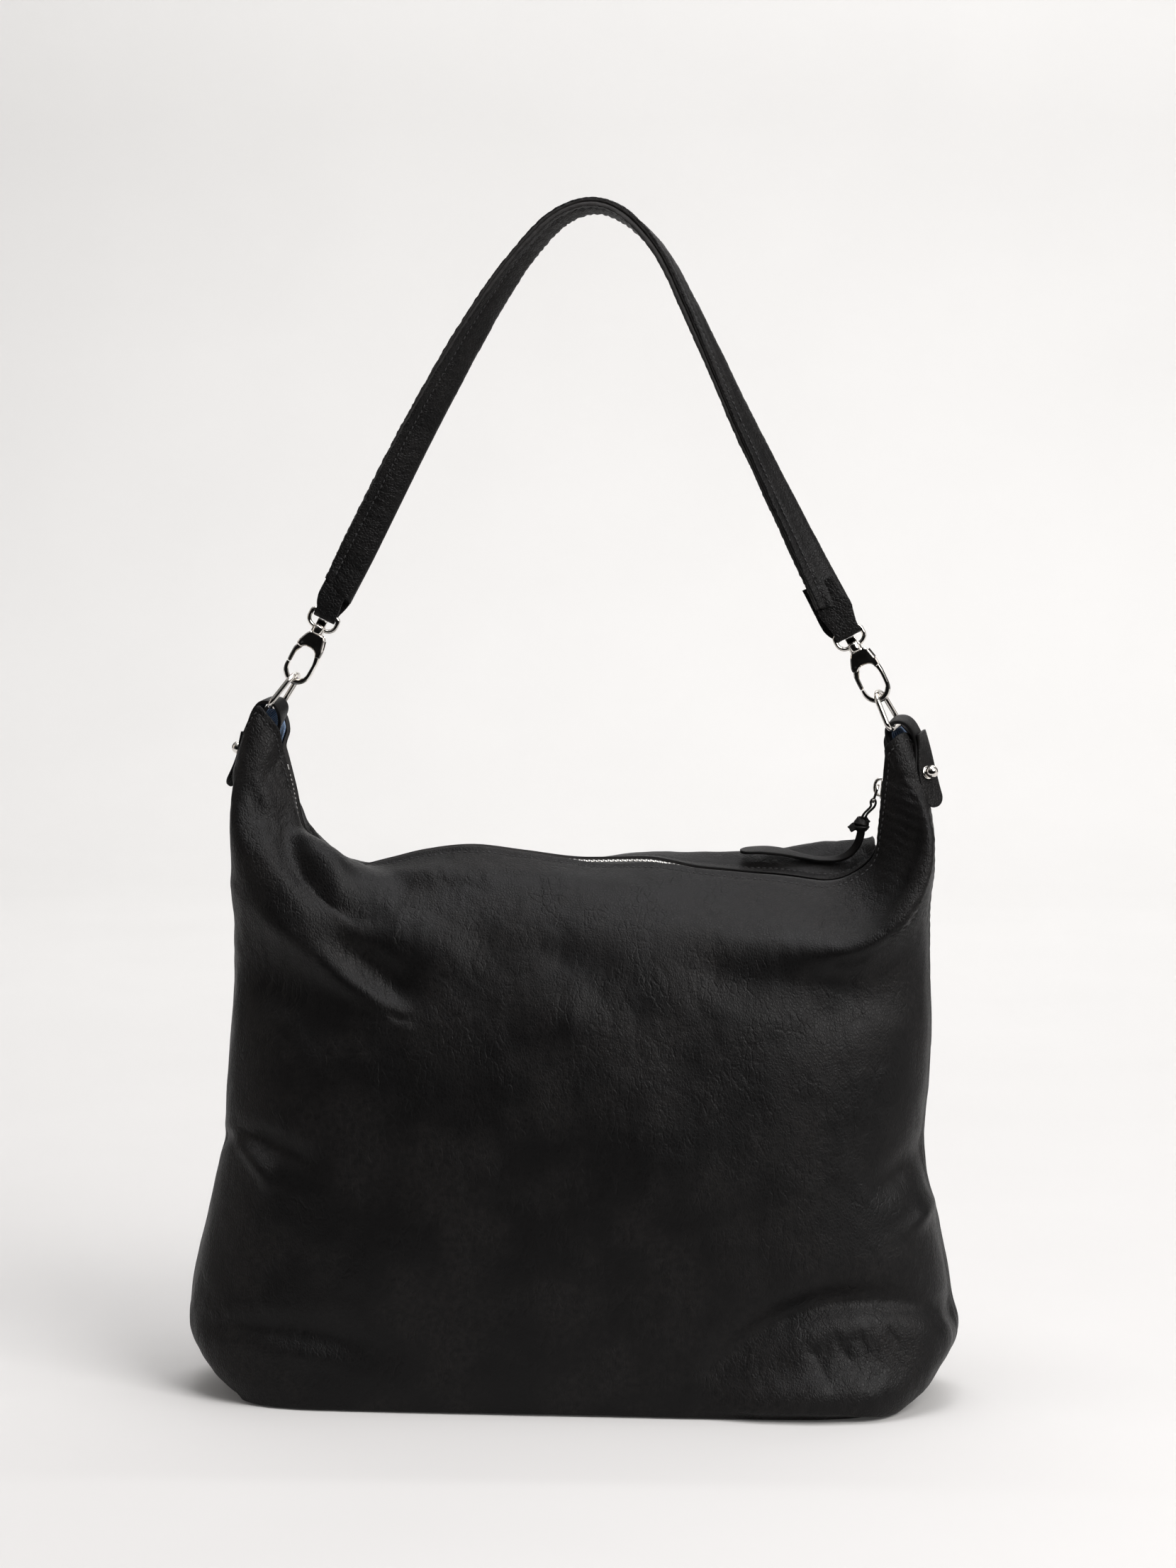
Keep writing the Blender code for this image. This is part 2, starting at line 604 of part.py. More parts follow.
def refine(line, step):
    d = smooth_curve(line, 10)
    n = max(2, int(along(d)[-1] / step))
    return at_lengths(d, np.linspace(0, along(d)[-1], n + 1))


for side in ("left", "right"):
    to_world, o_dir, f_dir, bar = tab_frame(side)
    base = tab_line()
    line = np.vstack([base[:14], refine(base[13:], 3.2)[1:]])
    s = along(line)
    w = np.interp(s, [0, 44, 52, s[-1]], [10.0, 10.2, TAB_W, TAB_W])
    tab = strip("ring_tab_" + side, side, line, TAB_T, w, LEATHER_LOOK)
    # patch over the outer leg: square above, rounded below, standing off the tab at its top
    t = tangents(line)
    n = np.stack([-t[:, 1], t[:, 0]], axis=1)
    k = int(np.argmin(np.abs(line[:, 1] - STUD_Z) + 100 * (line[:, 0] < 4)))
    over = line + n * (TAB_T / 2 + GAP + PATCH_T / 2)
    above = [over[k] - t[k] * a for a in (21.5, 16.0, 11.0, 6.0)]
    below = [q for q in over[k:]] + [over[-1] + t[-1] * a for a in (2.5, 5.0, 7.2)]
    patch_line = np.array(above + below)
    ps = along(patch_line)
    pw = np.full(len(ps), TAB_W + 1.0)
    pw *= np.sqrt(np.clip(1 - np.clip((ps - (ps[-1] - 6.2)) / 6.4, 0, 1) ** 2, 0.1, 1))
    patch = strip("stud_patch_" + side, side, patch_line, PATCH_T, pw, LEATHER_LOOK)
    # ball stud through patch and tab
    at, nn = line[k], n[k]
    a3 = o_dir * nn[0] + np.array([0, 0, nn[1]])
    b3 = np.cross(a3, f_dir)
    at3 = np.array(to_world(at[0], 0, at[1]))

    def stud_space(x, y, z, at3=at3, a3=a3, b3=b3, f_dir=f_dir):
        return tuple(at3 + x * b3 + y * f_dir + z * a3)

    for leather in (tab, patch):
        hole = add("hole", turned([(0, -6), (2.0, -6), (2.0, 6), (0, 6)], stud_space, 14), LEATHER_LOOK)
        cut(leather, hole)
    z0 = TAB_T / 2 + GAP + PATCH_T + GAP
    prof = [(0, -TAB_T / 2), (1.4, -TAB_T / 2), (1.4, z0), (3.4, z0), (3.5, z0 + 0.5), (3.0, z0 + 0.9), (1.7, z0 + 1.1), (1.6, z0 + 1.3)]
    c = z0 + 1.3 + 2.9
    prof += [(3.3 * math.cos(a), c + 3.3 * math.sin(a)) for a in np.radians(np.arange(-58, 80, 23))] + [(0, c + 3.3)]
    add("stud_" + side, turned(prof, stud_space, 12), NICKEL_LOOK)


# ---- rings ------------------------------------------------------------------------------
def ring_path(side):
    """Oval link: straight lower bar in the tab, round upper end in the hook."""
    to_world, o_dir, f_dir, bar = tab_frame(side)
    top = np.array([PIVOT[side][0], 0.0, PIVOT[side][1]])
    lift = HOOK_BOTTOM_WIRE + RING_LIFT + RING_WIRE
    f = f_dir
    bar = bar + f * ((top - bar) @ f)
    d = (top - bar) / np.linalg.norm(top - bar)
    length = np.linalg.norm(top - bar) + lift
    hw, rl, rt = RING_LOW_W / 2, RING_LOW_R, RING_TOP_R
    pts = []
    for t in np.linspace(-90, 0, 5):
        pts.append((hw - rl + rl * math.cos(math.radians(t)), rl + rl * math.sin(math.radians(t))))
    for t in np.linspace(12, 168, 9):
        pts.append((rt * math.cos(math.radians(t)), length - rt + rt * math.sin(math.radians(t))))
    for t in np.linspace(180, 270, 5):
        pts.append((-hw + rl + rl * math.cos(math.radians(t)), rl + rl * math.sin(math.radians(t))))
    return np.array([bar + f * a + d * b for a, b in pts])


for side in ("left", "right"):
    ring = add("ring_" + side, tube(ring_path(side), RING_WIRE, 8, True), NICKEL_LOOK)
    axis = empty_at("ring_%s_axis" % side, (RING_BAR[side][0], 0, RING_BAR[side][1]))
    hang_on(ring, axis)


# ---- hooks ------------------------------------------------------------------------------
def hook_frame(side):
    sg = 1.0 if side == "left" else -1.0
    a = math.radians(HOOK_TILT) * sg
    ez = np.array([math.sin(a), 0.0, math.cos(a)])
    ex = np.array([math.cos(a), 0.0, -math.sin(a)])
    p = np.array([PIVOT[side][0], 0.0, PIVOT[side][1]])
    return lambda x, y, z: tuple(p + ex * x + np.array([0, 1.0, 0]) * y + ez * z), ez


def eye_inner(n=9):
    """Inner edge of the eye from the nose, round the bottom, up the back arm to the shoulder."""
    c = HOOK_BOTTOM_WIRE + EYE_R
    pts = [(-EYE_R, NOSE_Z)]
    pts += [(EYE_R * math.cos(a), c + EYE_R * math.sin(a)) for a in np.linspace(math.pi, 2 * math.pi, n)]
    pts += [(EYE_R, 14.0), (4.5, 17.2), (2.9, 19.3), (0.6, EYE_TOP), (-1.6, EYE_TOP)]
    return pts


def eye_outer(n=13):
    r = EYE_R + ARM
    c = HOOK_BOTTOM_WIRE + EYE_R
    lowest = -HOOK_BOTTOM_WIRE
    k = (c - lowest) / r
    pts = [(-r, NOSE_Z)]
    pts += [(r * math.cos(a), c + k * r * math.sin(a)) for a in np.linspace(math.pi, 2 * math.pi, n)]
    pts += [(r + 0.05, 12.0), (r + 0.05, 17.0), (r - 0.4, 21.5), (6.2, 25.0), (5.2, SHOULDER_TOP),
            (-3.6, SHOULDER_TOP), (-4.6, 26.6), (-2.2, 24.6), (-1.6, 22.6)]
    return pts


for side in ("left", "right"):
    to_world, axis_dir = hook_frame(side)
    outline = eye_outer() + list(reversed(eye_inner()))
    body = add("hook_body_" + side, plate(outline, HOOK_T, to_world, 0.7), NICKEL_LOOK)
    cheek = [(-1.2, 24.2), (-2.2, 24.6), (-6.3, 23.2), (-6.6, 20.8), (-5.4, 19.4), (-2.8, 19.6), (-1.2, 20.6)]
    for y0 in (-HOOK_T / 2 + 0.0, HOOK_T / 2 - 0.5):
        ear = add("ear", plate(cheek, 0.5, lambda x, y, z, y0=y0: to_world(x, y + y0 + 0.25, z)), NICKEL_LOOK)
        cut(body, ear, "UNION")
    bore = add("bore", turned([(0, 23.2), (STEM_HOLE_R, 23.2), (STEM_HOLE_R, 40), (0, 40)], to_world, 16), NICKEL_LOOK)
    cut(body, bore)
    pin_space = lambda x, y, z: to_world(GATE_PIN[0] + x, z, GATE_PIN[1] + y)
    hole = add("hole", turned([(0, -4), (1.0, -4), (1.0, 4), (0, 4)], pin_space, 12), NICKEL_LOOK)
    cut(body, hole)

    # gate: lever from its pin down to the nose, between the two cheeks
    r0, r1 = EYE_R + 0.1, EYE_R + ARM - 0.2
    gate_line = [(-r1, NOSE_Z + GAP), (-r1 - 0.1, 13.0), (-r1 + 0.1, 17.5), (-6.4, 20.2), (-6.3, 22.2), (-5.4, 23.2),
                 (-4.0, 23.3), (-3.0, 22.4), (-2.9, 21.0), (-3.6, 18.8), (-r0 + 0.2, 15.0), (-r0, NOSE_Z + GAP)]
    gate = add("gate_" + side, plate(gate_line, GATE_T, to_world, 0.5), NICKEL_LOOK)
    hole = add("hole", turned([(0, -4), (1.0, -4), (1.0, 4), (0, 4)], pin_space, 12), NICKEL_LOOK)
    cut(gate, hole)
    pin = add("gate_pin_" + side, turned([(0, -2.1), (0.7, -2.1), (0.7, 2.1), (0, 2.1)], pin_space, 12), NICKEL_LOOK)

    # leaf spring behind the gate's heel
    leaf = [(-2.35, 20.5), (-2.35, 22.9), (-2.0, 22.9), (-2.0, 20.5)]
    spring = add("gate_spring_" + side, plate(leaf, 1.8, to_world), STEEL_LOOK)

    # stem: turns in the strap loop's collar, its head inside the loop
    prof = [(0, 23.6), (STEM_R, 23.6), (STEM_R, LOOP_Z0 + 2.3), (2.9, LOOP_Z0 + 2.3), (2.9, LOOP_Z0 + 3.8), (2.2, LOOP_Z0 + 4.5), (0, LOOP_Z0 + 4.5)]
    stem = add("swivel_stem_" + side, turned(prof, to_world, 16), NICKEL_LOOK)

    # strap loop: D of wire with a collar round the stem
    r = 4.2
    wl, z0, z1 = LOOP_HALF_W, LOOP_Z0, LOOP_Z1
    pts = []
    for cx, cz, a0, rr in ((wl, z0, -90, r), (wl, z1, 0, 1.9), (-wl, z1, 90, 1.9), (-wl, z0, 180, r)):
        sx = 1 if cx > 0 else -1
        zc = cz + rr if cz == z0 else cz - rr
        for t in np.linspace(a0, a0 + 90, 4):
            pts.append((cx - sx * rr + rr * math.cos(math.radians(t)), zc + rr * math.sin(math.radians(t))))
    dloop = add("strap_loop_" + side, tube([to_world(x, 0, z) for x, z in pts], LOOP_WIRE, 8, True), NICKEL_LOOK)
    collar = add("collar", turned([(0, z0 - 3.6), (2.9, z0 - 3.6), (3.7, z0 - 2.6), (3.7, z0 + 1.2), (3.2, z0 + 2.0), (0, z0 + 2.0)], to_world, 18), NICKEL_LOOK)
    cut(dloop, collar, "UNION")
    bore = add("bore", turned([(0, z0 - 9), (STEM_HOLE_R, z0 - 9), (STEM_HOLE_R, z0 + 9), (0, z0 + 9)], to_world, 16), NICKEL_LOOK)
    cut(dloop, bore)

    # moving parts stand on their joints
    hook_axis = empty_at("hook_%s_axis" % side, to_world(0, 0, 26))
    gate_axis = empty_at("gate_%s_axis" % side, to_world(GATE_PIN[0], 0, GATE_PIN[1]))
    hang_on(gate_axis, hook_axis)
    for ob in (body, pin, spring, stem):
        hang_on(ob, hook_axis)
    hang_on(gate, gate_axis)

# ---- shoulder strap ----------------------------------------------------------------------
ends = {s: hook_frame(s)[0](0, 0, LOOP_Z1) for s in ("left", "right")}
e_l, e_r = np.array(ends["left"]), np.array(ends["right"])
d_l, d_r = hook_frame("left")[1], hook_frame("right")[1]
route = [tuple((e_l - d_l * 3.6)[[0, 2]]), tuple(e_l[[0, 2]]), tuple((e_l + d_l * 9)[[0, 2]]), (-100.9, 485.2), (-75.2, 539.9), (-45.4, 592.4), (-18.1, 626.0),
         (-3.0, 639.5), (11.5, 645.5), (25.5, 641.5), (38.0, 629.5), (56.0, 601.7), (79.3, 559.3), (103.1, 510.7),
         tuple((e_r + d_r * 9)[[0, 2]]), tuple(e_r[[0, 2]]), tuple((e_r - d_r * 3.6)[[0, 2]])]
dense = smooth_curve(route, 16)
L = along(dense)[-1]
stops = np.concatenate([[0, 1.2, 2.6, 3.6, 5.2, 7.2, 10, 14, 19], np.linspace(28, L - 28, 34), L - np.array([19, 14, 10, 7.2, 5.2, 3.6, 2.6, 1.2, 0])])
line = at_lengths(dense, stops)
tan = tangents(at_lengths(dense, stops))
rings = []
apex = stops[int(np.argmax(line[:, 1]))]
for q, d, s in zip(line, tan, stops):
    e = min(s, L - s)
    turn = (s - apex) / (apex if s < apex else L - apex)
    turn = math.copysign(min(1.0, abs(turn) ** 1.15 * 1.12), turn) * 90.0
    inward = np.array([d[1], 0.0, -d[0]])
    across0 = np.array([0.0, 1.0, 0.0])
    ang = math.radians(turn)
    across = across0 * math.cos(ang) - inward * math.sin(ang)
    face = inward * math.cos(ang) + across0 * math.sin(ang)
    w = STRAP_END_W + (STRAP_W - STRAP_END_W) * min(1, max(0, (e - 14) / 22))
    k = 3.6 - e
    t = 2 * math.sqrt(max(0.25, 3.7 ** 2 - max(0.0, k) ** 2)) if e < 3.6 else 7.4 + (STRAP_T - 7.4) * min(1, (e - 3.6) / 12)
    p = np.array([q[0], 0.0, q[1]])
    rings.append([p + across * w / 2 * a + face * t / 2 * b for a, b in
                  ((-1, -0.45), (-0.88, -1), (0.88, -1), (1, -0.45), (1, 0.45), (0.88, 1), (-0.88, 1), (-1, 0.45))])
strap = add("shoulder_strap", rings_to_bmesh(rings, False), LEATHER_LOOK, 60)
for side in ("left", "right"):
    to_world = hook_frame(side)[0]
    bar_space = lambda x, y, z: to_world(z, x, LOOP_Z1 + y)
    hole = add("hole", turned([(0, -12), (LOOP_WIRE + 0.45, -12), (LOOP_WIRE + 0.45, 12), (0, 12)], bar_space, 14), LEATHER_LOOK)
    cut(strap, hole)
swing = empty_at("strap_axis", (PIVOT["left"][0], 0, PIVOT["left"][1]))
hang_on(strap, swing)
for side in ("left", "right"):
    hang_on(bpy.data.objects["strap_loop_" + side], swing)
    hang_on(bpy.data.objects["hook_%s_axis" % side], swing)
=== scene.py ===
import math

import bpy
import numpy as np
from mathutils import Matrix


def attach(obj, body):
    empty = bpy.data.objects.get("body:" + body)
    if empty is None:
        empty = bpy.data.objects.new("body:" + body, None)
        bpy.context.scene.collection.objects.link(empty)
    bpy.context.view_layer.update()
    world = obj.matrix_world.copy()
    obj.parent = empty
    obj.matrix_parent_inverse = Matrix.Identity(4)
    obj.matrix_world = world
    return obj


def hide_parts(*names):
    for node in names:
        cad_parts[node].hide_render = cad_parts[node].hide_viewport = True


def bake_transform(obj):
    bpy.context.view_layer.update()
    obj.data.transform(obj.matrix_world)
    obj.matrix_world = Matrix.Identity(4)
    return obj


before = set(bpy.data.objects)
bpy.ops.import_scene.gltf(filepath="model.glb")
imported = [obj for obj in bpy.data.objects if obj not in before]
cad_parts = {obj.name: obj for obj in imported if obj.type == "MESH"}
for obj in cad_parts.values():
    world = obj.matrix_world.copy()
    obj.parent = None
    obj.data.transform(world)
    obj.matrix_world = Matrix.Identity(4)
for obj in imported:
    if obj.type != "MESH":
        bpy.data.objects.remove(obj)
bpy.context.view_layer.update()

MM = 0.001
FLIP = np.array([1.0, -1.0, 1.0])

# ---- the viewpoint, also used to place folds on the front ---------------------------------
CAM = np.array((230.8, -2380.6, 542.2))
AIM = np.array((10.0, 0.0, 333.0))
FOCAL, MID_X, MID_Y = 6240.0, 829.5, 1106.0
cam_f = (AIM - CAM) / np.linalg.norm(AIM - CAM)
cam_r = np.cross(cam_f, (0, 0, 1))
cam_r /= np.linalg.norm(cam_r)
cam_u = np.cross(cam_r, cam_f)


def seen_at(p):
    """Place in the picture, in its 1659 x 2212 frame, of points in millimetres."""
    d = p - CAM
    z = d @ cam_f
    return np.stack([MID_X + FOCAL * (d @ cam_r) / z, MID_Y - FOCAL * (d @ cam_u) / z], axis=-1)


# ---- numbers: curves and noise ------------------------------------------------------------
def spline(points, per=12):
    """Dense points on a centripetal spline, for one curve (n, k) or many at once (n, m, k)."""
    p = np.array(points, float)
    p = np.concatenate([[2 * p[0] - p[1]], p, [2 * p[-1] - p[-2]]])
    d = np.maximum(np.linalg.norm(np.diff(p, axis=0), axis=-1, keepdims=True), 1e-6) ** 0.5
    out = []
    for i in range(1, len(p) - 2):
        a, b, c, e = p[i - 1], p[i], p[i + 1], p[i + 2]
        t0 = np.zeros_like(d[i])
        t1 = t0 + d[i - 1]
        t2 = t1 + d[i]
        t3 = t2 + d[i + 1]
        for k in range(per):
            t = t1 + (t2 - t1) * k / per
            a1 = (t1 - t) / (t1 - t0) * a + (t - t0) / (t1 - t0) * b
            a2 = (t2 - t) / (t2 - t1) * b + (t - t1) / (t2 - t1) * c
            a3 = (t3 - t) / (t3 - t2) * c + (t - t2) / (t3 - t2) * e
            b1 = (t2 - t) / (t2 - t0) * a1 + (t - t0) / (t2 - t0) * a2
            b2 = (t3 - t) / (t3 - t1) * a2 + (t - t1) / (t3 - t1) * a3
            out.append((t2 - t) / (t2 - t1) * b1 + (t - t1) / (t2 - t1) * b2)
    out.append(p[-2])
    return np.array(out)


def along(curve):
    return np.concatenate([[0.0], np.cumsum(np.linalg.norm(np.diff(curve, axis=0), axis=1))])


def at_lengths(curve, s):
    a = along(curve)
    return np.stack([np.interp(s, a, curve[:, k]) for k in range(curve.shape[1])], axis=1)


def even(curve, n):
    return at_lengths(curve, np.linspace(0, along(curve)[-1], n))


def tangents(curve, closed=False):
    if closed:
        t = np.roll(curve, -1, axis=0) - np.roll(curve, 1, axis=0)
    else:
        t = np.gradient(curve, axis=0)
    return t / np.linalg.norm(t, axis=1)[:, None]


def unit(v):
    v = np.asarray(v, float)
    return v / np.linalg.norm(v, axis=-1, keepdims=True)


def step(a, b, x):
    t = np.clip((x - a) / (b - a), 0, 1)
    return t * t * (3 - 2 * t)


def lattice(i, j, k, seed):
    h = (i * 374761393 + j * 668265263 + k * 1274126177 + seed * 362437) & 0xFFFFFFFF
    h = ((h ^ (h >> 13)) * 1103515245) & 0xFFFFFFFF
    h = ((h ^ (h >> 16)) * 2654435769) & 0xFFFFFFFF
    return ((h ^ (h >> 15)) & 0xFFFFFF) / float(0xFFFFFF)


def value_noise(p, seed=0):
    """Smooth noise from -1 to 1 at points (n, 3)."""
    i = np.floor(p).astype(np.int64)
    f = p - i
    w = f * f * f * (f * (f * 6 - 15) + 10)
    out = np.zeros(len(p))
    for dx in (0, 1):
        for dy in (0, 1):
            for dz in (0, 1):
                c = lattice(i[:, 0] + dx, i[:, 1] + dy, i[:, 2] + dz, seed)
                out += c * (w[:, 0] if dx else 1 - w[:, 0]) * (w[:, 1] if dy else 1 - w[:, 1]) * (w[:, 2] if dz else 1 - w[:, 2])
    return out * 2 - 1


def fractal(p, seed=0, octaves=3, gain=0.5):
    out, a = np.zeros(len(p)), 1.0
    for o in range(octaves):
        out += a * value_noise(p * 2.03 ** o + 17.3 * o, seed + o)
        a *= gain
    return out


def cells(p, seed=0):
    """Distances to the nearest and second nearest scattered point, for cell-like grain."""
    i = np.floor(p).astype(np.int64)
    f1 = np.full(len(p), 9.0)
    f2 = np.full(len(p), 9.0)
    for dx in (-1, 0, 1):
        for dy in (-1, 0, 1):
            for dz in (-1, 0, 1):
                c = i + np.array([dx, dy, dz])
                q = np.stack([c[:, k] + lattice(c[:, 0], c[:, 1], c[:, 2], seed + 31 * (k + 1)) for k in range(3)], axis=1)
                d = np.linalg.norm(q - p, axis=1)
                f2 = np.where(d < f1, f1, np.minimum(f2, d))
                f1 = np.minimum(f1, d)
    return f1, f2


def stroke(where, points, height, half, half_right=None):
    """A ridge or furrow drawn along points in a flat map: its height at each place of the map."""
    pts = spline(np.array(points, float), 8)
    share = along(pts) / along(pts)[-1]
    hs = np.atleast_1d(np.array(height, float))
    if len(hs) == 1:
        hs = np.array([0, hs[0], hs[0], 0])
    ws = np.atleast_1d(np.array(half, float))
    best = np.full(len(where), 1e9)
    amp = np.zeros(len(where))
    wid = np.ones(len(where))
    for k in range(len(pts) - 1):
        a, b = pts[k], pts[k + 1]
        d = b - a
        t = np.clip(((where - a) @ d) / max(d @ d, 1e-9), 0, 1)
        off = where - (a + t[:, None] * d)
        dist = np.linalg.norm(off, axis=1)
        s = share[k] + t * (share[k + 1] - share[k])
        near = dist < best
        best = np.where(near, dist, best)
        amp = np.where(near, np.interp(s, np.linspace(0, 1, len(hs)), hs), amp)
        w = np.interp(s, np.linspace(0, 1, len(ws)), ws)
        if half_right is not None:
            side = d[0] * off[:, 1] - d[1] * off[:, 0]
            w = np.where(side > 0, w, half_right)
        wid = np.where(near, w, wid)
    return amp * np.exp(-(best / wid) ** 2)


# ---- meshes -------------------------------------------------------------------------------
class Geo:
    """Collects closed shapes, in millimetres, for one mesh object."""

    def __init__(self):
        self.v, self.f, self.m, self.g, self.p, self.count = [], [], [], [], [], 0

    def add(self, verts, faces, mat=0, grain=None, pebble=1.0):
        verts = np.asarray(verts, float).reshape(-1, 3)
        vol = 0.0
        for f in faces:
            f = np.asarray(f)
            if f.ndim == 1:
                f = f[None]
            for k in range(1, f.shape[1] - 1):
                a, b, c = verts[f[:, 0]], verts[f[:, k]], verts[f[:, k + 1]]
                vol += np.einsum("ij,ij->", a, np.cross(b, c))
        for f in faces:
            f = np.asarray(f)
            if f.ndim == 1:
                f = f[None]
            if vol < 0:
                f = f[:, ::-1]
            self.f.append(f + self.count)
            self.m.append(np.full(len(f), mat) if np.isscalar(mat) else mat[len(self.m)])
        self.v.append(verts)
        self.g.append(np.zeros((len(verts), 3)) if grain is None else np.asarray(grain, float).reshape(-1, 3))
        self.p.append(np.full(len(verts), pebble) if np.isscalar(pebble) else np.asarray(pebble, float).ravel())
        self.count += len(verts)

    def made(self, name, mats, body="bag", replaces=(), sharp=None, ride=True):
        v = np.concatenate(self.v) * MM
        sizes = np.concatenate([np.full(len(f), f.shape[1]) for f in self.f])
        loops = np.concatenate([f.ravel() for f in self.f])
        me = bpy.data.meshes.new(name)
        me.vertices.add(len(v))
        me.vertices.foreach_set("co", v.astype(np.float32).ravel())
        me.loops.add(len(loops))
        me.loops.foreach_set("vertex_index", loops.astype(np.int32))
        me.polygons.add(len(sizes))
        me.polygons.foreach_set("loop_start", np.concatenate([[0], np.cumsum(sizes)[:-1]]).astype(np.int32))
        me.polygons.foreach_set("material_index", np.concatenate(self.m).astype(np.int32))
        me.update(calc_edges=True)
        a = me.attributes.new("grain", "FLOAT_VECTOR", "POINT")
        a.data.foreach_set("vector", np.concatenate(self.g).astype(np.float32).ravel())
        a = me.attributes.new("pebble", "FLOAT", "POINT")
        a.data.foreach_set("value", np.concatenate(self.p).astype(np.float32))
        me.shade_smooth()
        if sharp:
            me.set_sharp_from_angle(angle=math.radians(sharp))
        ob = bpy.data.objects.new(name, me)
        bpy.context.scene.collection.objects.link(ob)
        for m in mats if isinstance(mats, (list, tuple)) else [mats]:
            me.materials.append(m)
        if replaces:
            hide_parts(*replaces)
        if ride:
            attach(ob, body)
        return ob


def grid_faces(nv, nu, base=0, wrap_u=False, wrap_v=False):
    i, j = np.meshgrid(np.arange(nv if wrap_v else nv - 1), np.arange(nu if wrap_u else nu - 1), indexing="ij")
    i2, j2 = (i + 1) % nv, (j + 1) % nu
    return np.stack([i * nu + j, i * nu + j2, i2 * nu + j2, i2 * nu + j], axis=-1).reshape(-1, 4) + base


def skin(rings, closed=False):
    """Vertices and faces over equal closed loops (r, m, 3), with fan caps unless the row closes."""
    r = np.asarray(rings, float)
    nr, m = r.shape[:2]
    faces = [grid_faces(nr, m, wrap_u=True, wrap_v=closed)]
    v = r.reshape(-1, 3)
    if not closed:
        c0, c1 = len(v), len(v) + 1
        v = np.vstack([v, r[0].mean(0), r[-1].mean(0)])
        k = np.arange(m)
        k2 = (k + 1) % m
        faces.append(np.stack([np.full(m, c0), k2, k], axis=1))
        b = (nr - 1) * m
        faces.append(np.stack([np.full(m, c1), b + k, b + k2], axis=1))
    return v, faces


def skin_grain(rings, caps=True):
    r = np.asarray(rings, float)
    s = along(r.mean(axis=1))
    t = np.concatenate([[0], np.cumsum(np.linalg.norm(np.diff(r, axis=1), axis=2).mean(axis=0))])
    g = np.zeros(r.shape)
    g[..., 0] = s[:, None]
    g[..., 1] = t[None, :]
    g = g.reshape(-1, 3)
    return np.vstack([g, g[:1], g[-1:]]) if caps else g


def shell(outer, inner):
    """Closed sheet between two grids."""
    nv, nu = outer.shape[:2]
    n = nv * nu
    v = np.concatenate([outer.reshape(-1, 3), inner.reshape(-1, 3)])
    top = grid_faces(nv, nu)
    low = grid_faces(nv, nu, n)[:, ::-1]
    j = np.arange(nu - 1)
    i = np.arange(nv - 1)
    e0 = np.stack([j, n + j, n + j + 1, j + 1], axis=1)
    b = (nv - 1) * nu
    e1 = np.stack([b + j, b + j + 1, n + b + j + 1, n + b + j], axis=1)
    e2 = np.stack([i * nu, (i + 1) * nu, n + (i + 1) * nu, n + i * nu], axis=1)
    c = nu - 1
    e3 = np.stack([i * nu + c, n + i * nu + c, n + (i + 1) * nu + c, (i + 1) * nu + c], axis=1)
    return v, [top, low, e0, e1, e2, e3]


def tube_rings(path, radius, sides=16, closed=False, normal=None):
    p = np.asarray(path, float)
    t = tangents(p, closed)
    rad = np.broadcast_to(np.asarray(radius, float), (len(p),))
    if normal is None:
        n = np.cross(t[0], (0.31, 0.53, 0.79))
    else:
        n = np.asarray(normal, float)
    frames = []
    for d in t:
        n = n - d * (n @ d)
        n /= np.linalg.norm(n)
        frames.append((n, np.cross(d, n)))
    a = np.linspace(0, 2 * math.pi, sides, endpoint=False)
    return np.array([q + r * (np.cos(a)[:, None] * u + np.sin(a)[:, None] * w) for q, r, (u, w) in zip(p, rad, frames)])


def lathe(profile, to_world, sides=40):
    """Loops of a turned shape from (radius, z') pairs."""
    a = np.linspace(0, 2 * math.pi, sides, endpoint=False)
    return np.array([[to_world(max(r, 0.02) * math.cos(t), max(r, 0.02) * math.sin(t), z) for t in a] for r, z in profile])


def plate(outline, thick, to_world, edge=0.6, steps=4, crown=0.0):
    """Flat outline (x', z') with rounded edges, made thick along y' and placed by a function."""
    o = np.asarray(outline, float)
    area = 0.5 * np.sum(o[:, 0] * np.roll(o[:, 1], -1) - np.roll(o[:, 0], -1) * o[:, 1])
    if area < 0:
        o = o[::-1]
    t = tangents(o, True)
    n = np.stack([t[:, 1], -t[:, 0]], axis=1)
    rings = []
    ang = np.linspace(0, math.pi / 2, steps)
    half = thick / 2
    for sgn in (-1, 1):
        for a in (ang[::-1] if sgn < 0 else ang):
            inset, y = edge * (1 - math.cos(a)), sgn * (half - edge + edge * math.sin(a))
            q = o - n * inset
            rings.append(np.array([to_world(x, y, z) for x, z in q]))
    rings = np.array(rings)
    nr, m = rings.shape[:2]
    faces = [grid_faces(nr, m, wrap_u=True)]
    faces.append(np.arange(m)[::-1][None])
    faces.append((np.arange(m) + (nr - 1) * m)[None])
    return rings.reshape(-1, 3), faces


def soft_outline(points, n, corner=0.0):
    """Closed outline through points with rounded corners, evenly spaced."""
    p = np.array(points, float)
    if corner:
        out = []
        for k in range(len(p)):
            a, b, c = p[k - 1], p[k], p[(k + 1) % len(p)]
            r1 = min(corner, 0.45 * np.linalg.norm(a - b))
            r2 = min(corner, 0.45 * np.linalg.norm(c - b))
            q0, q1 = b + unit(a - b) * r1, b + unit(c - b) * r2
            for s in np.linspace(0, 1, 6):
                out.append((1 - s) ** 2 * q0 + 2 * s * (1 - s) * b + s * s * q1)
        p = np.array(out)
    loop = np.vstack([p, p[:1]])
    return even(loop, n + 1)[:-1]


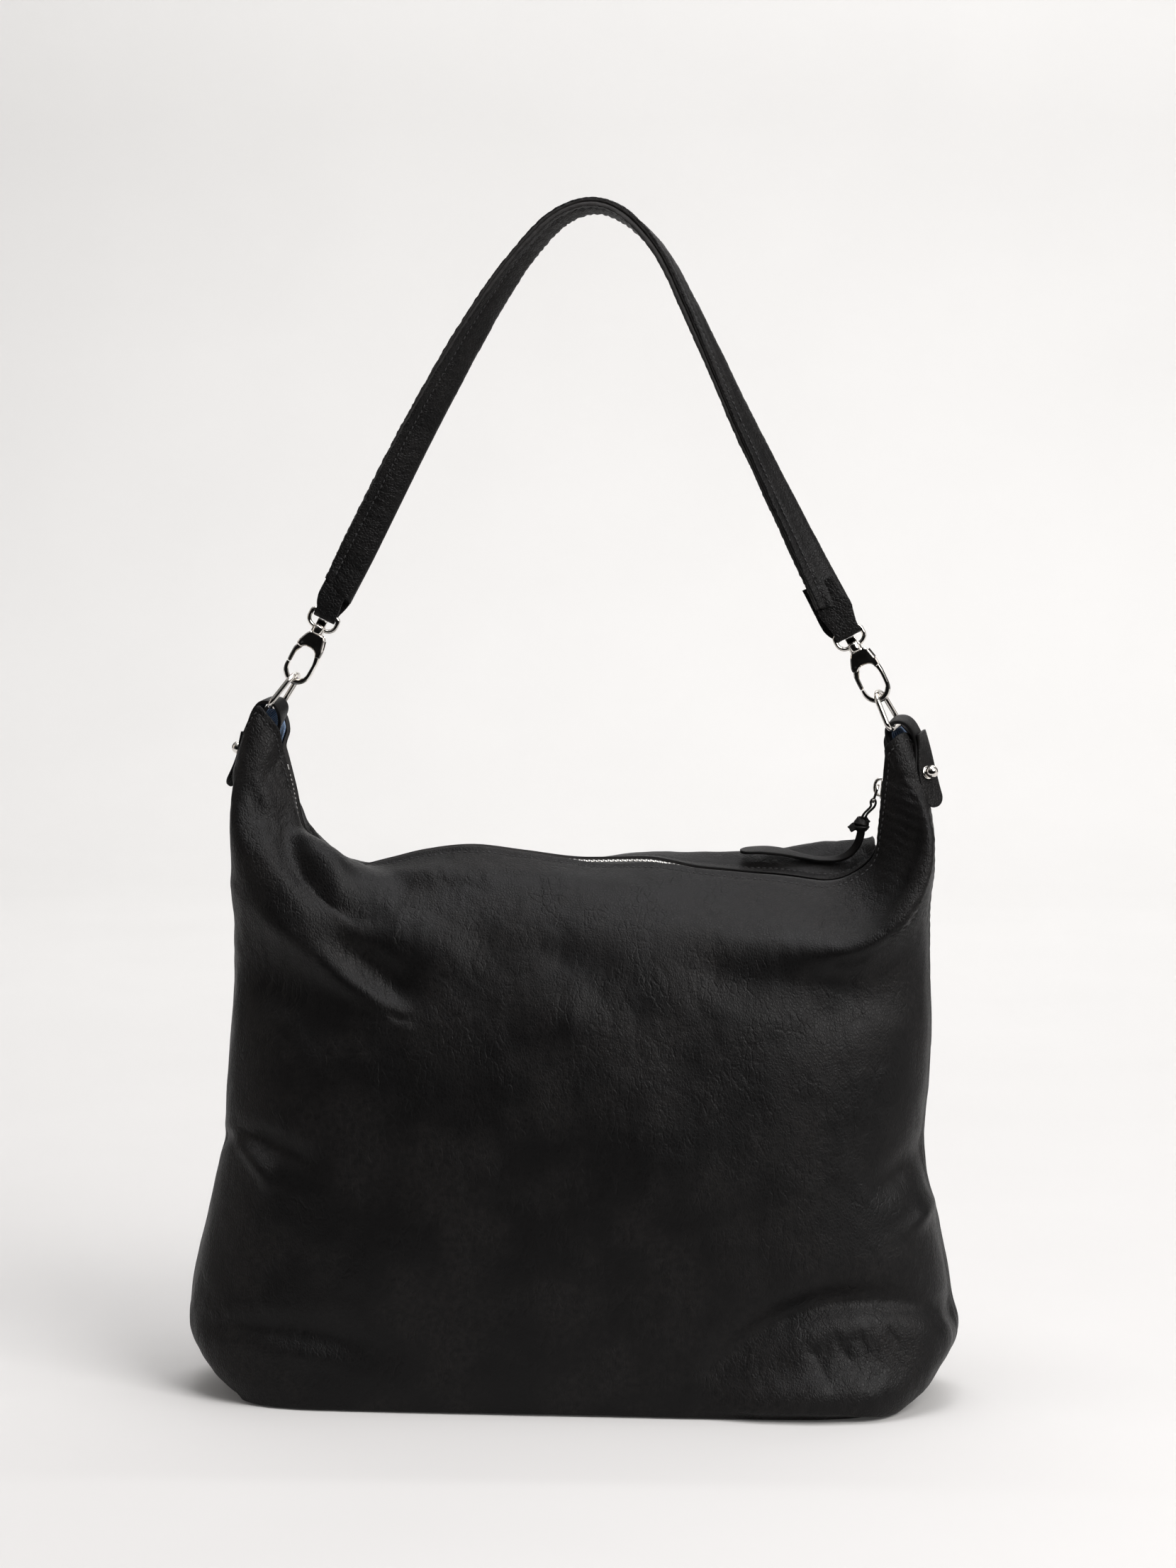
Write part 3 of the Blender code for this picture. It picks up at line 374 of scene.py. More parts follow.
# ---- materials ----------------------------------------------------------------------------
class Look:
    """A procedural material with a few short names for its nodes."""

    def __init__(self, name):
        self.m = bpy.data.materials.new(name)
        self.m.use_nodes = True
        self.t = self.m.node_tree
        self.b = self.t.nodes["Principled BSDF"]

    def put(self, sock, value):
        if isinstance(value, bpy.types.NodeSocket):
            self.t.links.new(value, sock)
        else:
            sock.default_value = value

    def node(self, kind, **props):
        n = self.t.nodes.new(kind)
        for k, v in props.items():
            setattr(n, k, v)
        return n

    def math(self, op, a, b=0.0, clamp=False):
        n = self.node("ShaderNodeMath", operation=op, use_clamp=clamp)
        self.put(n.inputs[0], a)
        self.put(n.inputs[1], b)
        return n.outputs[0]

    def sum(self, first, *rest):
        for r in rest:
            first = self.math("ADD", first, r)
        return first

    def mul(self, a, b):
        return self.math("MULTIPLY", a, b)

    def span(self, v, a, b, c=0.0, d=1.0, smooth=True):
        n = self.node("ShaderNodeMapRange", interpolation_type="SMOOTHSTEP" if smooth else "LINEAR")
        self.put(n.inputs["Value"], v)
        for k, x in zip(("From Min", "From Max", "To Min", "To Max"), (a, b, c, d)):
            n.inputs[k].default_value = x
        return n.outputs["Result"]

    def here(self):
        """Place on the piece in millimetres."""
        c = self.node("ShaderNodeTexCoord").outputs["Object"]
        n = self.node("ShaderNodeVectorMath", operation="SCALE")
        self.put(n.inputs[0], c)
        n.inputs["Scale"].default_value = 1000.0
        return n.outputs[0]

    def attr(self, name):
        n = self.node("ShaderNodeAttribute", attribute_name=name)
        return n

    def vadd(self, a, b):
        n = self.node("ShaderNodeVectorMath", operation="ADD")
        self.put(n.inputs[0], a)
        self.put(n.inputs[1], b)
        return n.outputs[0]

    def mapped(self, v, scale=(1, 1, 1), turn=(0, 0, 0)):
        n = self.node("ShaderNodeMapping")
        self.put(n.inputs["Vector"], v)
        n.inputs["Scale"].default_value = scale
        n.inputs["Rotation"].default_value = turn
        return n.outputs[0]

    def noise(self, v, scale, detail=2.0, rough=0.5, out="Fac"):
        n = self.node("ShaderNodeTexNoise")
        self.put(n.inputs["Vector"], v)
        n.inputs["Scale"].default_value = scale
        n.inputs["Detail"].default_value = detail
        n.inputs["Roughness"].default_value = rough
        return n.outputs[out]

    def warped(self, v, scale, amount):
        n = self.node("ShaderNodeVectorMath", operation="MULTIPLY_ADD")
        self.put(n.inputs[0], self.noise(v, scale, 2.0, 0.5, "Color"))
        n.inputs[1].default_value = (amount,) * 3
        self.put(n.inputs[2], v)
        return n.outputs[0]

    def edges(self, v, scale):
        n = self.node("ShaderNodeTexVoronoi", feature="DISTANCE_TO_EDGE")
        self.put(n.inputs["Vector"], v)
        n.inputs["Scale"].default_value = scale
        return n.outputs["Distance"]

    def dots(self, v, scale):
        n = self.node("ShaderNodeTexVoronoi", feature="F1")
        self.put(n.inputs["Vector"], v)
        n.inputs["Scale"].default_value = scale
        return n.outputs["Distance"]

    def mix(self, fac, a, b):
        n = self.node("ShaderNodeMix", data_type="RGBA")
        self.put(n.inputs[0], fac)
        self.put(n.inputs[6], (*a, 1.0) if isinstance(a, tuple) else a)
        self.put(n.inputs[7], (*b, 1.0) if isinstance(b, tuple) else b)
        return n.outputs[2]

    def bump(self, height, distance=0.001, strength=1.0):
        n = self.node("ShaderNodeBump")
        n.inputs["Strength"].default_value = strength
        n.inputs["Distance"].default_value = distance
        self.put(n.inputs["Height"], height)
        self.put(self.b.inputs["Normal"], n.outputs[0])


def leather_look(name, cell=1.45, deep=0.14, lump=0.20, crease=0.12, dark=(0.0030, 0.0028, 0.0029), pale=(0.0085, 0.0076, 0.0074), rough=0.40, gloss=0.165,
                 tall=0.62):
    """Milled leather: fine cells drawn out one way, soft lumps, and longer creases that come and go."""
    k = Look(name)
    p = k.here()
    w = k.warped(p, 0.34, 1.5)
    pebble = k.span(k.edges(k.mapped(w, (1.0, 1.0, tall)), 1.0 / cell), 0.0, 0.30)
    lumps = k.noise(k.mapped(w, (1.0, 1.0, tall)), 0.34 / cell * 1.45, 3.0, 0.55)
    long = k.span(k.edges(k.mapped(k.warped(p, 0.11, 6.0), (1.0, 1.0, 0.42), (0.0, 0.30, 0.0)), 1.0 / (cell * 2.9)), 0.0, 0.16)
    patch = k.span(k.noise(p, 0.026, 3.0), 0.36, 0.64)
    here = k.span(k.noise(p, 0.055, 2.0), 0.40, 0.62)
    amount = k.attr("pebble").outputs["Fac"]
    rise = k.mul(k.sum(k.mul(pebble, deep), k.mul(lumps, lump)), k.mul(amount, k.span(patch, 0, 1, 0.60, 1.0, False)))
    pores = k.mul(k.noise(p, 3.4, 3.0, 0.65), 0.035)
    k.bump(k.sum(rise, k.mul(k.mul(long, here), crease), pores))
    k.put(k.b.inputs["Base Color"], k.mix(k.math("MULTIPLY", patch, k.span(k.noise(p, 0.35, 3.0), 0.2, 0.8)), dark, pale))
    r = k.sum(rough, k.mul(k.math("SUBTRACT", patch, 0.5), 0.06), k.mul(k.math("SUBTRACT", 1.0, pebble), 0.10), k.mul(k.noise(p, 0.9, 2.0), 0.05))
    k.put(k.b.inputs["Roughness"], r)
    k.b.inputs["Specular IOR Level"].default_value = gloss
    return k.m


def raw_edge_look(name):
    k = Look(name)
    p = k.here()
    fibres = k.noise(p, 1.6, 4.0, 0.7)
    k.bump(k.mul(fibres, 0.25))
    k.put(k.b.inputs["Base Color"], k.mix(k.span(fibres, 0.3, 0.75), (0.006, 0.0055, 0.0055), (0.022, 0.019, 0.018)))
    k.put(k.b.inputs["Roughness"], k.span(fibres, 0.2, 0.8, 0.62, 0.85, False))
    return k.m


def denim_look(name):
    k = Look(name)
    g = k.attr("grain").outputs["Vector"]
    m = k.mapped(g, (1.0, 1.0, 1.0), (0, 0, math.radians(38)))
    n = k.node("ShaderNodeTexWave", wave_type="BANDS", bands_direction="X")
    k.put(n.inputs["Vector"], k.warped(m, 0.5, 0.25))
    n.inputs["Scale"].default_value = 0.32
    n.inputs["Distortion"].default_value = 0.4
    twill = n.outputs["Fac"]
    n2 = k.node("ShaderNodeTexWave", wave_type="BANDS", bands_direction="Y")
    k.put(n2.inputs["Vector"], m)
    n2.inputs["Scale"].default_value = 0.55
    cross = n2.outputs["Fac"]
    slub = k.noise(k.mapped(g, (0.35, 2.0, 1.0)), 1.0, 3.0)
    weave = k.math("MULTIPLY", k.span(twill, 0.25, 0.8), k.span(cross, 0.0, 0.8, 0.5, 1.0))
    blue = k.mix(k.span(slub, 0.3, 0.75), (0.050, 0.125, 0.285), (0.115, 0.230, 0.450))
    spark = k.span(k.dots(g, 0.75), 0.10, 0.20, 1.0, 0.0)
    lit = k.mix(weave, blue, (0.44, 0.57, 0.76))
    k.put(k.b.inputs["Base Color"], k.mix(spark, lit, (0.85, 0.90, 0.95)))
    k.bump(k.sum(k.mul(weave, 0.16), k.mul(slub, 0.05)))
    k.put(k.b.inputs["Roughness"], k.span(weave, 0.0, 1.0, 0.88, 0.72, False))
    k.b.inputs["Sheen Weight"].default_value = 0.3
    return k.m


def tape_look(name):
    k = Look(name)
    g = k.attr("grain").outputs["Vector"]
    n = k.node("ShaderNodeTexWave", wave_type="BANDS", bands_direction="X")
    k.put(n.inputs["Vector"], g)
    n.inputs["Scale"].default_value = 0.42
    n2 = k.node("ShaderNodeTexWave", wave_type="BANDS", bands_direction="Y")
    k.put(n2.inputs["Vector"], g)
    n2.inputs["Scale"].default_value = 0.5
    weave = k.math("MULTIPLY", n.outputs["Fac"], n2.outputs["Fac"])
    k.put(k.b.inputs["Base Color"], k.mix(weave, (0.0045, 0.0045, 0.005), (0.018, 0.018, 0.019)))
    k.bump(k.mul(weave, 0.2))
    k.put(k.b.inputs["Roughness"], k.span(weave, 0.0, 1.0, 0.92, 0.78, False))
    k.b.inputs["Sheen Weight"].default_value = 0.15
    return k.m


def metal_look(name, dark, pale, r0, r1, scratch=0.004):
    k = Look(name)
    p = k.here()
    cloud = k.noise(p, 0.22, 3.0)
    rub = k.noise(k.mapped(p, (0.6, 3.0, 0.8), (0.4, 0.2, 0.7)), 1.5, 4.0, 0.7)
    k.put(k.b.inputs["Base Color"], k.mix(k.span(cloud, 0.3, 0.7), dark, pale))
    k.b.inputs["Metallic"].default_value = 1.0
    k.put(k.b.inputs["Roughness"], k.span(k.sum(k.mul(cloud, 0.6), k.mul(rub, 0.4)), 0.3, 0.7, r0, r1))
    k.bump(k.mul(rub, scratch))
    return k.m


def thread_look(name):
    k = Look(name)
    g = k.attr("grain").outputs["Vector"]
    n = k.node("ShaderNodeTexWave", wave_type="BANDS", bands_direction="DIAGONAL")
    k.put(n.inputs["Vector"], g)
    n.inputs["Scale"].default_value = 0.7
    ply = n.outputs["Fac"]
    k.put(k.b.inputs["Base Color"], k.mix(ply, (0.006, 0.006, 0.0065), (0.028, 0.027, 0.028)))
    k.bump(k.mul(ply, 0.12))
    k.put(k.b.inputs["Roughness"], k.span(ply, 0.0, 1.0, 0.75, 0.5, False))
    return k.m


LEATHER = leather_look("black_milled_leather")
STRAP_LEATHER = leather_look("black_strap_leather", cell=1.7, deep=0.16, lump=0.16, crease=0.04, tall=1.0)
SMOOTH_LEATHER = leather_look("black_smooth_leather", cell=1.2, deep=0.04, lump=0.06, crease=0.02, rough=0.42)
RAW_EDGE = raw_edge_look("raw_leather_edge")
DENIM = denim_look("blue_denim")
TAPE = tape_look("black_zip_tape")
NICKEL = metal_look("polished_nickel", (0.66, 0.63, 0.59), (0.78, 0.75, 0.71), 0.07, 0.16)
ZIP_METAL = metal_look("zip_nickel", (0.55, 0.54, 0.52), (0.74, 0.73, 0.71), 0.16, 0.30, 0.01)
THREAD = thread_look("black_thread")
# near-black metal for the hooks' recesses: painted shade, much darker than the nickel round it
RECESS_SHADE = metal_look("painted_shade_recess", (0.012, 0.011, 0.010), (0.030, 0.028, 0.026), 0.35, 0.55)

# ---- the bag's surface --------------------------------------------------------------------
LEATHER_T = 2.0
straight = [(166.2 + 0.0881 * d, 301.0 + d) for d in np.linspace(0, 49, 8)]
ZIP_LINE = spline([(-156.2, 353), (-154.3, 346), (-150.2, 329), (-146.8, 311), (-141, 297),
                   (-131, 289.5), (-118, 287.5), (-100, 291.5), (-80, 296.5), (-54, 299.5),
                   (-25, 296.5), (5, 293), (45, 294), (90, 295), (120, 291.5), (140, 288),
                   (150, 287.3), (158.5, 289.8), (164, 295.0)] + straight, 16)
LIP_SAG = [(24, 0), (45, 0.8), (56, 3.0), (70, 6.4), (95, 8.4), (114, 7.6), (140, 6.2), (150, 3.2), (158, 0.6), (163, 0)]
sag_curve = spline(LIP_SAG, 12)
ZIP_LINE[:, 1] -= np.interp(ZIP_LINE[:, 0], sag_curve[:, 0], sag_curve[:, 1]) * (np.arange(len(ZIP_LINE)) < len(ZIP_LINE) - 118)
ZIP_S = along(ZIP_LINE)
S_MID = float(np.interp(5.0, ZIP_LINE[:, 0], ZIP_S))
S_LEFT, S_RIGHT = -S_MID, float(ZIP_S[-1]) - S_MID
CHAIN_DEEP = 2.6


def zip_at(s, deep=0.0):
    s = np.asarray(s, float) + S_MID
    p = at_lengths(ZIP_LINE, s)
    t = at_lengths(ZIP_LINE, s + 0.6) - at_lengths(ZIP_LINE, s - 0.6)
    t /= np.linalg.norm(t, axis=1)[:, None]
    n = np.stack([-t[:, 1], t[:, 0]], axis=1)
    return p - deep * n, n


LEVELS = [(1.6, 176.5, 172.5, 70.5, 6.8), (15, 194.5, 196.0, 72.5, 4.7), (34, 208.0, 211.0, 73.3, 3.6),
          (58, 207.2, 208.5, 74.0, 3.2), (95, 199.0, 201.0, 74.5, 3.0), (138, 189.8, 192.5, 74.0, 2.9),
          (176, 187.0, 195.0, 70.5, 2.8), (206, 184.6, 196.0, 64.5, 2.75), (232, 183.6, 195.2, 57.0, 2.7)]
RIDGE_R = [(0.0, 5, -46, 257), (0.25, 66, -46.5, 256), (0.46, 113, -48.5, 253), (0.56, 136, -50.5, 251),
           (0.62, 151, -51.5, 251), (0.68, 172, -47, 260), (0.73, 187, -41, 275), (0.78, 194.5, -35, 291),
           (0.86, 195.4, -26, 312), (0.92, 194.8, -17, 320), (0.97, 194.4, -8.5, 324), (1.0, 194.2, 0, 324.5)]
RIDGE_L = [(0.0, 5, -46, 257), (0.25, -54, -47.5, 258), (0.40, -88, -49.5, 259), (0.50, -113, -49, 266),
           (0.58, -134, -45, 280), (0.65, -152, -41.5, 289), (0.72, -167, -38, 297), (0.80, -178.4, -31, 310),
           (0.88, -182.4, -22, 320), (0.94, -183.2, -14, 324), (0.975, -182.8, -8, 326.5), (1.0, -181.2, 0, 327.0)]
NU = 331


def section(z, left, right, deep, n):
    th = np.linspace(0, math.pi, 1441)
    c, s = np.cos(th), np.sin(th)
    x = -np.sign(c) * np.abs(c) ** (2 / n)
    y = -np.abs(s) ** (2 / n) * deep
    x = np.where(x < 0, x * left, x * right)
    return np.stack([x, y, np.full_like(x, z)], axis=1)


def panel_rows(mouth_l, mouth_r, sag, lift, least):
    """Rows of the outer face from base to zip edge, for one side of the bag (drawn as the front)."""
    zs = np.linspace(S_LEFT + 1, S_RIGHT - 1, 900)
    zp, _ = zip_at(zs)
    mid = np.stack([zp[:, 0], np.full(len(zs), -6.0), zp[:, 1]], axis=1)
    left = spline(list(reversed(mouth_l)) + [tuple(mid[0]), tuple(mid[60])], 24)[:-24]
    right = spline([tuple(mid[-60]), tuple(mid[-1])] + mouth_r, 24)[24:]
    curve = np.concatenate([left[:-1], mid, right[1:]])
    edge = even(curve, NU)
    shares = np.linspace(0, 1, NU)
    rows = [at_lengths(c, shares * along(c)[-1]) for c in (section(*lv) for lv in LEVELS)]
    half = float(np.interp(5.0, edge[8:-8, 0], shares[8:-8]))
    top = np.zeros((NU, 3))
    for table, pick, s in ((RIDGE_R, shares >= half, (shares - half) / (1 - half)), (RIDGE_L, shares < half, (half - shares) / half)):
        d = spline(np.array(table, float), 24)
        for k in range(3):
            top[pick, k] = np.interp(s[pick], d[:, 0], d[:, k + 1])
    inner = 0.5 * (top + edge)
    # the seams lean out to the tabs before they run in to the mouths
    lean = np.exp(-(np.minimum(shares, 1 - shares) / 0.05) ** 2)
    inner[:, 0] += np.where(shares < 0.5, -3.2, 1.6) * lean
    inner[:, 2] += np.where(shares < 0.5, -3.0, 1.0) * lean
    inner[:, 2] += 0.16 * np.abs(top[:, 1] - edge[:, 1]) * np.clip(1 - np.abs(edge[:, 0]) / 175, 0, 1)
    ix = inner[:, 0].copy()
    high = spline(np.array(lift, float), 10)
    inner[:, 2] += np.interp(ix, high[:, 0], high[:, 1])
    if least:
        low = spline(np.array(least, float), 10)
        inner[:, 2] = np.where((ix > low[0, 0]) & (ix < low[-1, 0]), np.maximum(inner[:, 2], np.interp(ix, low[:, 0], low[:, 1])), inner[:, 2])
    if sag:
        sx, sz = np.array(sag).T
        drop = np.interp(edge[:, 0], sx, sz)
        drop = np.convolve(np.pad(drop, 4, mode="edge"), np.ones(9) / 9, "valid")
        edge[:, 2] -= drop
        edge[:, 1] -= 0.15 * drop
        inner[:, 2] -= 0.6 * drop
    rows += [top, inner, edge]
    rows = np.array(rows)
    rows[:, 0, 1] = -0.35
    rows[:, -1, 1] = -0.35
    return rows


def panel_grid(rows, nv=230):
    d = spline(rows, 16)
    out = np.zeros((nv + 4, NU, 3))
    for j in range(NU):
        L = along(d[:, j])[-1]
        s = np.concatenate([np.linspace(0, L - 1.6, nv), [L - 0.9, L - 0.45, L - 0.15, L]])
        out[:, j] = at_lengths(d[:, j], s)
    out[:, 0, 1] = -0.35
    out[:, -1, 1] = -0.35
    return out


def grid_normals(g):
    n = np.cross(np.gradient(g, axis=1), np.gradient(g, axis=0))
    n /= np.maximum(np.linalg.norm(n, axis=2), 1e-9)[..., None]
    n[:, 0, 1] = 0
    n[:, -1, 1] = 0
    return n / np.maximum(np.linalg.norm(n, axis=2), 1e-9)[..., None]


def blurred(n, times=2):
    for _ in range(times):
        q = np.pad(n, ((1, 1), (1, 1), (0, 0)), mode="edge")
        n = (q[:-2, 1:-1] + q[2:, 1:-1] + q[1:-1, :-2] + q[1:-1, 2:] + 2 * q[1:-1, 1:-1]) / 6
    return unit(n)


def row_lengths(g):
    """Lengths along each row from the left seam, and along each column up from the base."""
    u = np.concatenate([np.zeros((g.shape[0], 1)), np.cumsum(np.linalg.norm(np.diff(g, axis=1), axis=2), axis=1)], axis=1)
    v = np.concatenate([np.zeros((1, g.shape[1])), np.cumsum(np.linalg.norm(np.diff(g, axis=0), axis=2), axis=0)], axis=0)
    return u, v


MOUTH_FL = [(-157.4, -8.9, 362.0), (-162.6, -10.2, 369.2), (-168.8, -10.6, 375.4), (-172.4, -10.6, 371.0), (-175.8, -9.8, 365.0), (-178.2, -7.4, 359.0),
            (-178.6, -3.5, 354.0), (-175.5, -0.35, 350.0)]
MOUTH_FR = [(170.6, -8.4, 354.6), (174.2, -9.2, 358.6), (178.6, -8.2, 362.0), (183.0, -5.0, 362.6), (186.6, -0.35, 355.0)]
MOUTH_BL = [(-154.2, -9.0, 361.0), (-156.4, -10.4, 369.5), (-160.5, -11.2, 374.6), (-166.5, -10.4, 375.0), (-171.0, -8.0, 369.0), (-173.2, -4.0, 359.5), (-172.0, -0.35, 352.5)]
MOUTH_BR = [(169.6, -9.2, 358.0), (173.4, -11.0, 365.0), (178.4, -10.4, 368.0), (183.0, -6.0, 365.0), (185.6, -0.35, 357.0)]
# the front lip droops a little more where the teeth show
TEETH_SHOW = [(2, 0), (12, 1.5), (28, 2.3), (44, 1.7), (60, 0)]

# Folds of the front, drawn in the picture's frame: points, heights along them, half widths.
FRONT_FOLDS = [
    ([(418, 1090), (430, 1160), (455, 1200), (491, 1227), (530, 1248), (570, 1266)], [1.5, 3.5, 6, 6.5, 4.5, 0], [15, 18, 20, 22]),
    ([(402, 1160), (420, 1220), (452, 1262), (500, 1290), (560, 1304)], [-2, -6, -8, -6, 0], [22, 26, 30]),
    ([(352, 1075), (372, 1120), (400, 1165)], [0, 2.2, 0], [12, 14]),
    ([(336, 1248), (385, 1296), (434, 1334), (498, 1388), (566, 1432)], [1, 4, 5.5, 4.5, 1], [20, 24, 22, 14]),
    ([(455, 1310), (505, 1350), (560, 1392), (610, 1425)], [0, -4.5, -4, 0], [24, 26]),
    ([(332, 1330), (395, 1400), (460, 1450), (520, 1480)], [0, -3.5, -3, 0], [34, 40]),
    ([(542, 1424), (560, 1436), (584, 1434)], [0, -1.8, 0], [5, 5]),
    ([(552, 1446), (575, 1452), (590, 1448)], [0, 1.0, 0], [6, 6]),
    ([(314, 1600), (355, 1606), (410, 1630), (470, 1660)], [-3.0, -4.5, -3, 0], [16, 20, 26]),
    ([(322, 1590), (348, 1622), (372, 1656), (384, 1685)], [1.5, 3.5, 3.0, 0], [10, 12, 12]),
    ([(300, 1869), (405, 1876), (482, 1890), (566, 1928)], [-1.4, -2.6, -2.4, 0], [18, 22, 24]),
    ([(320, 1893), (440, 1914), (540, 1942)], [0.6, 1.8, 0], [16, 18]),
    ([(1318, 1085), (1315, 1150), (1307, 1200), (1296, 1237), (1275, 1282), (1243, 1317), (1205, 1344), (1175, 1360)], [0.5, 1.8, 3.4, 5.0, 5.6, 4.8, 3.0, 0], [16, 19, 22, 25]),
    ([(1288, 1110), (1278, 1190), (1258, 1248), (1216, 1288), (1165, 1312)], [-0.8, -3.0, -5.2, -4.8, 0], [20, 30, 36, 36]),
    ([(1302, 1615), (1268, 1655), (1225, 1690)], [-2, -4, 0], [18, 24]),
    ([(1322, 1680), (1300, 1715), (1276, 1750)], [1.5, 3.5, 0], [11, 13]),
    ([(985, 1950), (1040, 1905), (1100, 1866), (1190, 1838), (1290, 1836), (1345, 1845)], [0, -4.5, -7.5, -9, -7, -3], [18, 24, 26, 24]),
    ([(996, 2000), (1056, 1986), (1130, 1976), (1210, 1970), (1290, 1956)], [0, 7.0, 10.0, 10.0, 4.5], [24, 36, 42, 38]),
    ([(1174, 1872), (1192, 1908), (1212, 1940)], [0, -0.9, 0], [5, 5]),
    ([(1206, 1860), (1216, 1884), (1226, 1908)], [0, -0.8, 0], [5, 5]),
    ([(1240, 1856), (1262, 1886), (1284, 1918)], [0, -0.9, 0], [5, 5]),
    ([(1258, 1908), (1272, 1928), (1284, 1944)], [0, -0.7, 0], [5, 5]),
    ([(1154, 1922), (1166, 1944), (1178, 1964)], [0, -0.8, 0], [5, 5]),
    ([(1220, 1930), (1232, 1950), (1244, 1970)], [0, -0.7, 0], [5, 5]),
    ([(1136, 1890), (1150, 1912), (1166, 1932)], [0, -0.6, 0], [5, 5]),
    ([(1188, 1856), (1214, 1896), (1240, 1930)], [0, -0.6, 0], [5, 5]),
    ([(690, 1318), (790, 1338), (900, 1346), (1010, 1350)], [0, 1.6, 1.6, 0], [52, 60]),
    ([(700, 1330), (790, 1346), (880, 1362)], [0, -3.2, 0], [30, 34]),
    ([(720, 1424), (810, 1440), (900, 1450)], [0, 3.4, 0], [38, 42]),
    ([(610, 1290), (680, 1330), (740, 1400)], [0, -2.4, 0], [30, 36]),
    ([(940, 1330), (1010, 1372), (1090, 1400)], [0, -1.8, 0], [28, 34]),
    ([(520, 1235), (600, 1236), (700, 1228)], [0, 2.5, 0], [14, 16]),
    ([(1080, 1490), (1160, 1440), (1260, 1400)], [0, -1.8, 0], [26, 30]),
    ([(560, 1560), (540, 1660), (560, 1760)], [0, -2.5, 0], [60, 70]),
    ([(950, 1500), (930, 1640), (960, 1780)], [0, 2.0, 0], [70, 80]),
]


def wrinkled(g, n, amount, seed):
    """Milled creases as real relief: soft furrows that run mostly up and down, and shallow lumps."""
    p = g.reshape(-1, 3)
    w = p + 6.0 * np.stack([fractal(p / 30.0 + 3.1 * k, seed + k, 2) for k in range(3)], axis=1)
    h = np.zeros(len(p))
    for tilt, size, deep, s in ((0.36, (9.0, 12.0, 26.0), 0.55, 1), (-0.45, (8.0, 11.0, 22.0), 0.40, 2)):
        c, d = math.cos(tilt), math.sin(tilt)
        q = np.stack([w[:, 0] * c + w[:, 2] * d, w[:, 1], w[:, 2] * c - w[:, 0] * d], axis=1) / np.array(size)
        h -= deep * (1 - np.abs(value_noise(q, seed + 20 * s))) ** 6 * step(-0.1, 0.5, fractal(p / 55.0, seed + 5 * s, 2))
    h += 0.38 * fractal(p / np.array([10.0, 10.0, 15.0]), seed + 9, 2)
    return (h * amount.ravel()).reshape(g.shape[:2])


def dressed_panel(rows, folds, flat_map, seed, right_ripple):
    """Base surface of one panel with its folds, ripples, seams and creases."""
    g = panel_grid(rows)
    n = blurred(grid_normals(g), 3)
    u, v = row_lengths(g)
    side = np.minimum(u, u[:, -1:] - u)
    lip = v[-1:] - v
    q = flat_map(g).reshape(-1, 2)
    h = np.zeros(g.shape[0] * g.shape[1])
    for pts, hs, ws in folds:
        h += stroke(q, pts, hs, ws)
    h = h.reshape(g.shape[:2])
    hold = step(0.0, 14.0, side) * step(0.0, 9.0, lip) * step(-2.0, 8.0, v)
    h *= hold
    p = g.reshape(-1, 3)
    h += (1.6 * fractal(p / 95.0, seed + 40, 2)).reshape(h.shape) * step(0, 30, side) * step(0, 26, lip) * step(0, 30, v)
    # leather bunched at the corners and along the horns creases more than the flat middle
    x, z = g[..., 0], g[..., 2]
    horn = np.maximum(step(120, 175, x), step(-110, -165, x)) * step(215, 275, z)
    hump = np.exp(-((x + 70) / 55) ** 2) * step(255, 285, z)
    corner = step(95, 165, np.abs(x)) * step(70, 25, z)
    amount = 0.55 + 0.55 * horn + 0.5 * hump + 0.45 * corner
    h += wrinkled(g, n, amount, seed) * step(0.0, 3.5, lip) * step(0.0, 5.0, side)
    # ripples across the right horn's fold
    t = (z * 0.94 + (x - 185) * 0.34) / 5.0
    wave = np.sin(2 * math.pi * (t + 0.35 * fractal(p / 18.0, seed + 70, 2).reshape(t.shape)))
    mask = right_ripple * np.exp(-((x - 181) / 13.0) ** 2) * step(236, 266, z) * step(352, 325, z)
    h += 0.42 * wave * mask
    # turned seams at the sides and under the base, a stitched groove along the zip's edge
    h += -1.5 * np.exp(-(side / 2.0) ** 2) + 0.7 * np.exp(-((side - 6.0) / 3.5) ** 2)
    h += -0.45 * np.exp(-((lip - 4.6) / 1.0) ** 2)
    h[-3:] -= np.array([0.06, 0.25, 0.6])[:, None]
    g2 = g + n * h[..., None]
    g2[:, 0, 1] = -0.30
    g2[:, -1, 1] = -0.30
    g2[:, 1:-1, 1] = np.minimum(g2[:, 1:-1, 1], -0.31)
    # the lower edge turns in under the bag
    low = g2[0]
    c = np.array([0.0, 0.0, 0.0])
    out = unit((low - c) * np.array([1, 1, 0]))
    under = [np.stack([low[:, 0] - out[:, 0] * d, np.minimum(low[:, 1] - out[:, 1] * d, -0.3), np.full(NU, zz)], axis=1)
             for d, zz in ((11.0, 0.5), (6.0, 0.35), (2.6, 0.6), (0.7, 1.3))]
    g3 = np.concatenate([np.array(under), g2])
    grain_amount = np.concatenate([np.repeat(amount[:1], 4, axis=0), amount])
    return g3, grain_amount


def cloth_between(outer, t0, t1):
    n = blurred(grid_normals(outer), 4)
    return outer - n * t0, outer - n * t1


